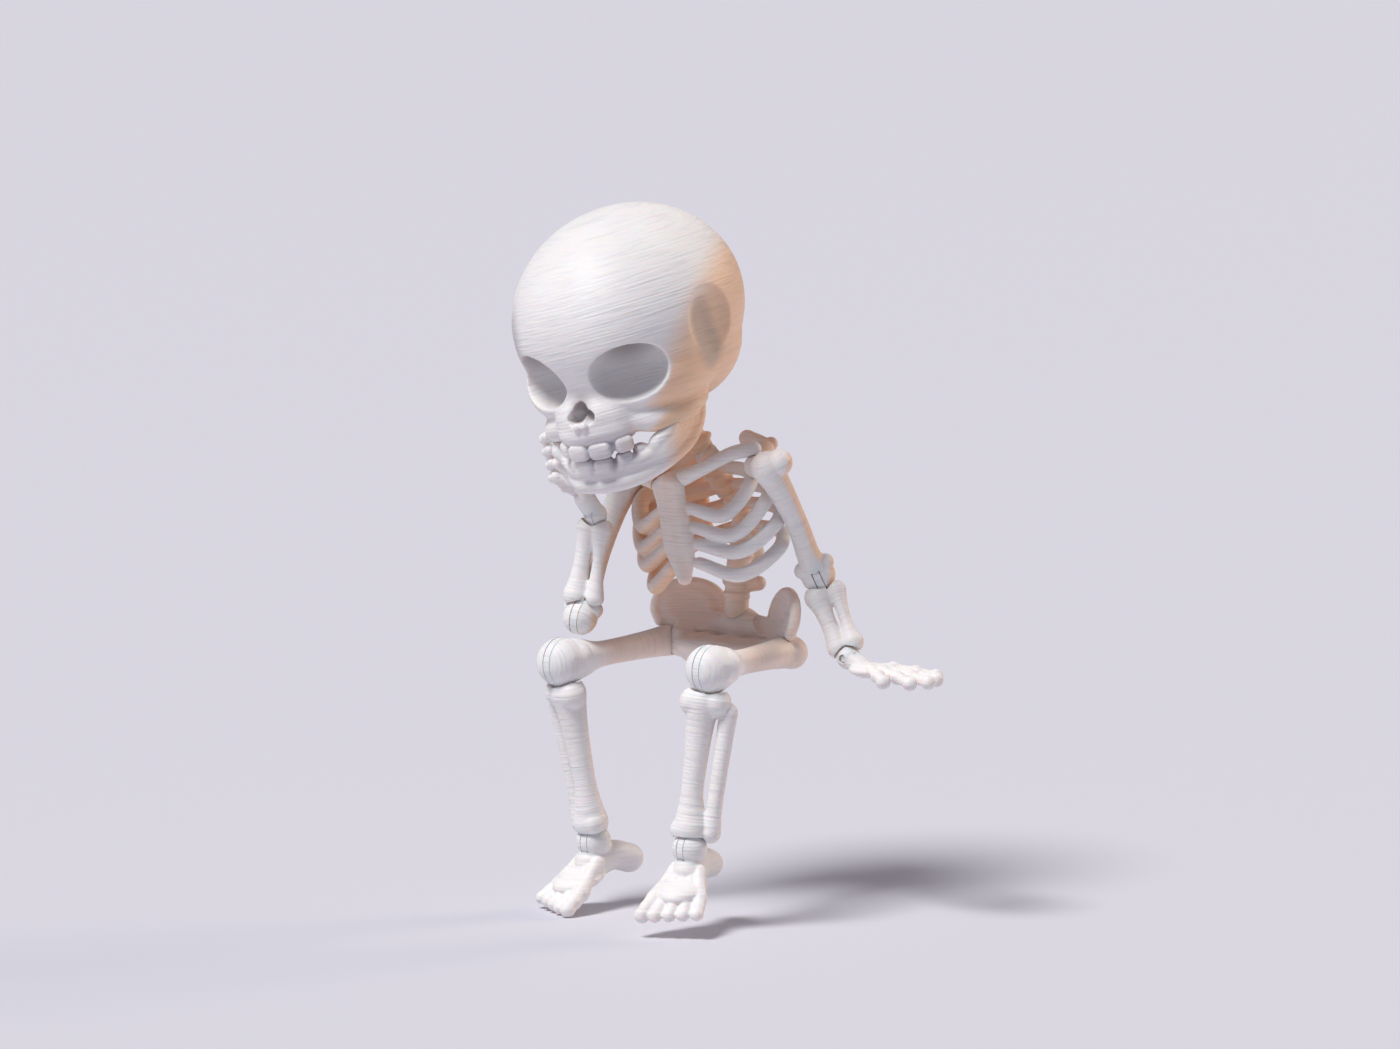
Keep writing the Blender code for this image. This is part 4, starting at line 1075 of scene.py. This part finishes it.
up_neck = (NECK_TOP - NECK_ROOT).normalized()
neck_seam = NECK_ROOT - (NECK_TOP - NECK_ROOT) * 0.1 + up_neck * SPINE / 2
peg_holes((rib_cage, neck), neck_seam - up_neck * NECK_PEG, neck_seam + up_neck * NECK_PEG, BODY_PIN)
chest_seam, down_spine = chest_seam_line()
chest_peg = down_spine * CHEST_PEG
peg_holes((rib_cage, lumbar), chest_seam - chest_peg, chest_seam + chest_peg, BODY_PIN)
peg_holes((pelvis, lumbar), WAIST + place(0, 0.2, -1.4), WAIST + place(0, 0, 2.0), BODY_PIN)


# Materials

WHITE = (0.88, 0.87, 0.885)
IVORY = (0.83, 0.80, 0.78)
# PAINTED_GLOW_PEACH is the colour of a painted warm glow, standing for light shining through the thin
# plastic
PAINTED_GLOW_PEACH = (0.88, 0.60, 0.42)
LAYER = 0.42 * MM
LAYER_SHARE = 0.05
RELIEF = 0.12 * MM
CLOUD_SCALE = 160.0
STREAK_SCALE = 190.0
STREAK_SQUEEZE = 15.0
GLOW_SIDE = (VIEW_RIGHT * 0.93 - VIEW_BACK * 0.30 - VIEW_UP * 0.12).normalized()
SHADE_CONTRAST = 2.2
FURROW_RANGE = (0.26, 0.50)
FURROW_SHADE = 0.88
ROUGHNESS = (0.42, 0.62)
RAGGED_EDGE = 0.16
# Painted shade: the dark tone painted in the eye sockets and the nose opening, where shade falls
PAINTED_SOCKET_SHADE = (0.36, 0.31, 0.31)
PAINTED_TEMPLE_SHADE = (0.56, 0.42, 0.34)
PAINTED_MOUTH_GREY = (0.62, 0.59, 0.63)
PAINTED_PALE_SHADE = (0.74, 0.72, 0.72)


def plastic_with_painted_light(name, grain, glow_from, glow_to, warmth, zone=None, spots=()):
    """Matt white printed plastic with its layers stacked along the grain, and with a painted warm glow
    on the faces turned to the glow side, standing for light shining through thin plastic. The glow
    comes in where a face's turn to that side goes from glow_from to glow_to, and warmth is how strong it
    gets. A zone keeps the painted glow to one end of the piece: a point, a direction, and how far along it
    the glow begins and is full. Each spot is painted shade: its middle, how far from it the painted
    shade is full, how far from it the shade ends, and its tone."""
    made = bpy.data.materials.new(name)
    made.use_nodes = True
    nodes = made.node_tree.nodes
    links = made.node_tree.links
    shader = nodes["Principled BSDF"]
    place_of = nodes.new("ShaderNodeTexCoord")

    def node(kind, operation=None, *values):
        built = nodes.new(kind)
        if operation:
            built.operation = operation
        for socket, value in zip(built.inputs, values):
            if isinstance(value, bpy.types.NodeSocket):
                links.new(value, socket)
            elif value is not None:
                socket.default_value = value
        return built

    def ramp(value, start, end, low=0.0, high=1.0, interpolation="LINEAR"):
        """Takes values from start to end to values from low to high."""
        built = node("ShaderNodeMapRange", None, value, start, end, low, high)
        built.interpolation_type = interpolation
        return built.outputs["Result"]

    def blended(share, first, tone):
        """The first colour, gone over into the tone by the share."""
        mix = nodes.new("ShaderNodeMix")
        mix.data_type = "RGBA"
        mix.inputs["B"].default_value = (*tone, 1.0)
        links.new(share, mix.inputs["Factor"])
        if isinstance(first, bpy.types.NodeSocket):
            links.new(first, mix.inputs["A"])
        else:
            mix.inputs["A"].default_value = (*first, 1.0)
        return mix.outputs["Result"]

    def noise(where, scale, detail):
        built = nodes.new("ShaderNodeTexNoise")
        built.inputs["Scale"].default_value = scale
        built.inputs["Detail"].default_value = detail
        links.new(where, built.inputs["Vector"])
        return built.outputs["Fac"]

    depth = node("ShaderNodeVectorMath", "DOT_PRODUCT", place_of.outputs["Object"], tuple(grain))
    stretch = node("ShaderNodeVectorMath", "SCALE", tuple(grain))
    more = node("ShaderNodeMath", "MULTIPLY", depth.outputs["Value"], STREAK_SQUEEZE - 1.0)
    links.new(more.outputs[0], stretch.inputs["Scale"])
    squeezed = node("ShaderNodeVectorMath", "ADD", place_of.outputs["Object"], stretch.outputs[0])
    streaks = noise(squeezed.outputs[0], STREAK_SCALE, 2.0)
    turns = node("ShaderNodeMath", "MULTIPLY", depth.outputs["Value"], 2 * math.pi / LAYER)
    ridges = node("ShaderNodeMath", "SINE", turns.outputs[0])
    low_ridges = node("ShaderNodeMath", "MULTIPLY", ridges.outputs[0], LAYER_SHARE)
    relief = node("ShaderNodeMath", "ADD", streaks, low_ridges.outputs[0])
    bump = nodes.new("ShaderNodeBump")
    bump.inputs["Strength"].default_value = 0.9
    bump.inputs["Distance"].default_value = RELIEF
    links.new(relief.outputs[0], bump.inputs["Height"])
    links.new(bump.outputs[0], shader.inputs["Normal"])

    clouds = noise(place_of.outputs["Object"], CLOUD_SCALE, 3.0)
    shade = node("ShaderNodeMath", "MULTIPLY", clouds, streaks)
    shade_more = node("ShaderNodeMath", "MULTIPLY", shade.outputs[0], SHADE_CONTRAST)
    toned = blended(shade_more.outputs[0], WHITE, IVORY)

    # Painted light: faces turned to the glow side go over into peach, a painted warm glow
    side = node("ShaderNodeVectorMath", "DOT_PRODUCT", place_of.outputs["Normal"], tuple(GLOW_SIDE))
    ragged = node("ShaderNodeMath", "MULTIPLY", clouds, RAGGED_EDGE)
    uneven = node("ShaderNodeMath", "ADD", side.outputs["Value"], ragged.outputs[0])
    painted_glow_share = ramp(uneven.outputs[0], glow_from, glow_to, 0.0, warmth, "SMOOTHSTEP")
    if zone:
        middle, towards, begins, full = zone
        offset = node("ShaderNodeVectorMath", "SUBTRACT", place_of.outputs["Object"], tuple(middle))
        along = node("ShaderNodeVectorMath", "DOT_PRODUCT", offset.outputs[0], tuple(towards))
        inside = ramp(along.outputs["Value"], begins, full, interpolation="SMOOTHSTEP")
        painted_glow_share = node("ShaderNodeMath", "MULTIPLY", painted_glow_share, inside).outputs[0]
    toned = blended(painted_glow_share, toned, PAINTED_GLOW_PEACH)
    # Painted shade: near each spot's middle the colour goes over into the spot's darker tone
    for middle, full, ends, tone in spots:
        away = node("ShaderNodeVectorMath", "DISTANCE", place_of.outputs["Object"], tuple(middle))
        near = ramp(away.outputs["Value"], ends, full, interpolation="SMOOTHSTEP")
        toned = blended(near, toned, tone)
    # Painted shade: the colour is darker in the furrows of the layer relief, where the streaks run low
    shaded = node("ShaderNodeVectorMath", "SCALE", toned)
    links.new(ramp(streaks, *FURROW_RANGE, FURROW_SHADE), shaded.inputs["Scale"])
    links.new(shaded.outputs[0], shader.inputs["Base Color"])

    links.new(ramp(streaks, 0.0, 1.0, *ROUGHNESS), shader.inputs["Roughness"])
    shader.inputs["Subsurface Weight"].default_value = 0.35
    shader.inputs["Subsurface Radius"].default_value = (1.0, 0.45, 0.25)
    shader.inputs["Subsurface Scale"].default_value = 1.2 * MM
    shader.inputs["Specular IOR Level"].default_value = 0.4
    return made


HEAD_UP = (HEAD_FRAME.to_3x3() @ Vector((-0.10, 0.16, 1.0))).normalized()
UP = Vector((0, 0, 1))

# Zones that keep the painted warm glow to one side of the head, the jaw and the chest
HEAD_ZONE = (HEAD_CENTRE, VIEW_RIGHT * 0.9 - VIEW_UP * 0.4, 4.8 * MM, 9.0 * MM)
JAW_ZONE = (HEAD_CENTRE, VIEW_RIGHT, 4.0 * MM, 7.0 * MM)
CHEST_ZONE = (place(0, -2, 17), VIEW_RIGHT * -0.55 - VIEW_BACK * 0.83, -6.5 * MM, 0.5 * MM)
# Painted shade: a grey spot over the mouth on the cranium and the jaw
PAINTED_MOUTH_SHADE = (in_face(1.5, -15.0, -13.2), 1.0 * MM, 6.5 * MM, PAINTED_MOUTH_GREY)
# Spots of painted shade in the mouth, the eye sockets, the nose and the temple dishes
PAINTED_HOLLOW_SHADES = [
    PAINTED_MOUTH_SHADE,
    (in_face(4.4, -8.6, 0.8), 1.8 * MM, 5.8 * MM, PAINTED_SOCKET_SHADE),
    (in_face(-7.8, -8.6, 0.8), 1.8 * MM, 5.8 * MM, PAINTED_SOCKET_SHADE),
    (in_face(0, -15.2, -7.2), 0.6 * MM, 2.3 * MM, PAINTED_SOCKET_SHADE),
]
# Painted shade down the temple dishes: a brown painted shade on one side and a pale grey one on the other
for side, tone in ((-1, PAINTED_PALE_SHADE), (1, PAINTED_TEMPLE_SHADE)):
    for height in (-0.4, -2.0, -3.6, -5.2):
        PAINTED_HOLLOW_SHADES.append((in_head(side * 12.4, -4.8 - 0.15 * height, height), 0.9 * MM, 3.3 * MM, tone))

# The direction that each print's layers are stacked in, where and how strongly the painted warm glow is
# painted, the zone that the painted glow keeps to, and the spots of painted shade
PRINT_LAYERS_AND_PAINTED_LIGHT = {
    "cranium": (HEAD_UP, -0.15, 0.25, 1.0, HEAD_ZONE, PAINTED_HOLLOW_SHADES),
    "jaw": (HEAD_UP, -0.4, 0.1, 1.0, JAW_ZONE, [PAINTED_MOUTH_SHADE]),
    "neck_column": (up_neck, -1.6, -0.6, 1.0),
    "rib_cage": (UP, -1.2, -0.2, 1.0, CHEST_ZONE),
    "lumbar_column": (UP, -1.5, -0.2, 0.75),
    "pelvis": (UP, -1.3, 0.0, 0.5),
}
for word in OUTWARDS:
    arm = (ELBOWS[word] - SHOULDERS[word]).normalized()
    lower_arm = (WRISTS[word] - ELBOWS[word]).normalized()
    leg = (KNEES[word] - HIPS[word]).normalized()
    lower_leg = (ANKLES[word] - KNEES[word]).normalized()
    thigh_zone = (KNEES[word], -leg, 3.5 * MM, 9.0 * MM)
    PRINT_LAYERS_AND_PAINTED_LIGHT[word + "_collarbone"] = (UP, -1.2, -0.2, 1.0, CHEST_ZONE)
    PRINT_LAYERS_AND_PAINTED_LIGHT[word + "_shoulder_blade"] = (UP, -1.0, 0.2, 0.9)
    PRINT_LAYERS_AND_PAINTED_LIGHT[word + "_upper_arm"] = (arm, 0.25, 0.7, 0.9)
    PRINT_LAYERS_AND_PAINTED_LIGHT[word + "_forearm"] = (lower_arm, 0.4, 0.9, 0.6)
    PRINT_LAYERS_AND_PAINTED_LIGHT[word + "_hand"] = (UP, 0.5, 1.1, 0.3)
    PRINT_LAYERS_AND_PAINTED_LIGHT[word + "_thigh"] = (leg, -0.9, 0.5, 0.5, thigh_zone)
    PRINT_LAYERS_AND_PAINTED_LIGHT[word + "_shin"] = (lower_leg, 0.5, 1.0, 0.35)
    PRINT_LAYERS_AND_PAINTED_LIGHT[word + "_foot"] = (UP, 0.6, 1.1, 0.2)

body_of_node = {
    node: body for body, nodes in frame["record"]["behaviour"]["bodies"].items() for node in nodes
}
for node, piece in pieces.items():
    piece.data.materials.clear()
    piece.data.materials.append(plastic_with_painted_light(node + "_print", *PRINT_LAYERS_AND_PAINTED_LIGHT[node]))
    piece.data.shade_smooth()
    piece.data.set_sharp_from_angle(angle=SHARP_EDGE)
    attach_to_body(piece, body_of_node[node])
    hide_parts(node)

# The pins get the same plastic with a weaker painted warm glow
pin_plastic_with_glow = plastic_with_painted_light("pin_print", UP, 0.2, 0.9, 0.4)
for name, node in frame["nodes"].items():
    if name.endswith("_pin"):
        node.data.materials.clear()
        node.data.materials.append(pin_plastic_with_glow)


# Floor and light

FLOOR_LEVEL = cad_bounds[0][2]
FLOOR_REACH = 6.0
floor_clay = Clay()
corners = [(x, y, FLOOR_LEVEL) for x, y in ((-1, -1), (1, -1), (1, 1), (-1, 1))]
floor_clay.add([(x * FLOOR_REACH, y * FLOOR_REACH, z) for x, y, z in corners], [(0, 1, 2, 3)])
floor = new_piece("floor", floor_clay)
floor_paint = bpy.data.materials.new("floor_paint")
floor_paint.use_nodes = True
floor_shader = floor_paint.node_tree.nodes["Principled BSDF"]
floor_shader.inputs["Base Color"].default_value = (0.63, 0.63, 0.70, 1.0)
floor_shader.inputs["Roughness"].default_value = 0.8
floor.data.materials.append(floor_paint)

world = bpy.data.worlds.new("studio")
world.use_nodes = True
sky = world.node_tree.nodes["Background"]
sky.inputs["Color"].default_value = (0.80, 0.83, 1.0, 1.0)
sky.inputs["Strength"].default_value = 0.24
scene.world = world
scene.view_settings.view_transform = "Standard"


def add_sun(name, towards, strength, softness, colour):
    """Even light from that direction. Softness is the sun's width in degrees."""
    lamp_data = bpy.data.lights.new(name, "SUN")
    lamp_data.energy = strength
    lamp_data.angle = math.radians(softness)
    lamp_data.color = colour
    lamp = bpy.data.objects.new(name, lamp_data)
    lamp.rotation_euler = towards.to_track_quat("Z", "Y").to_euler()
    scene.collection.objects.link(lamp)


add_sun("key", -VIEW_RIGHT * 0.65 + VIEW_BACK * 0.65 + VIEW_UP * 1.3, 2.95, 20, (1.0, 0.985, 0.97))
add_sun("back", VIEW_RIGHT * 1.0 - VIEW_BACK * 0.45 + VIEW_UP * 0.45, 1.1, 22, (1.0, 0.78, 0.58))
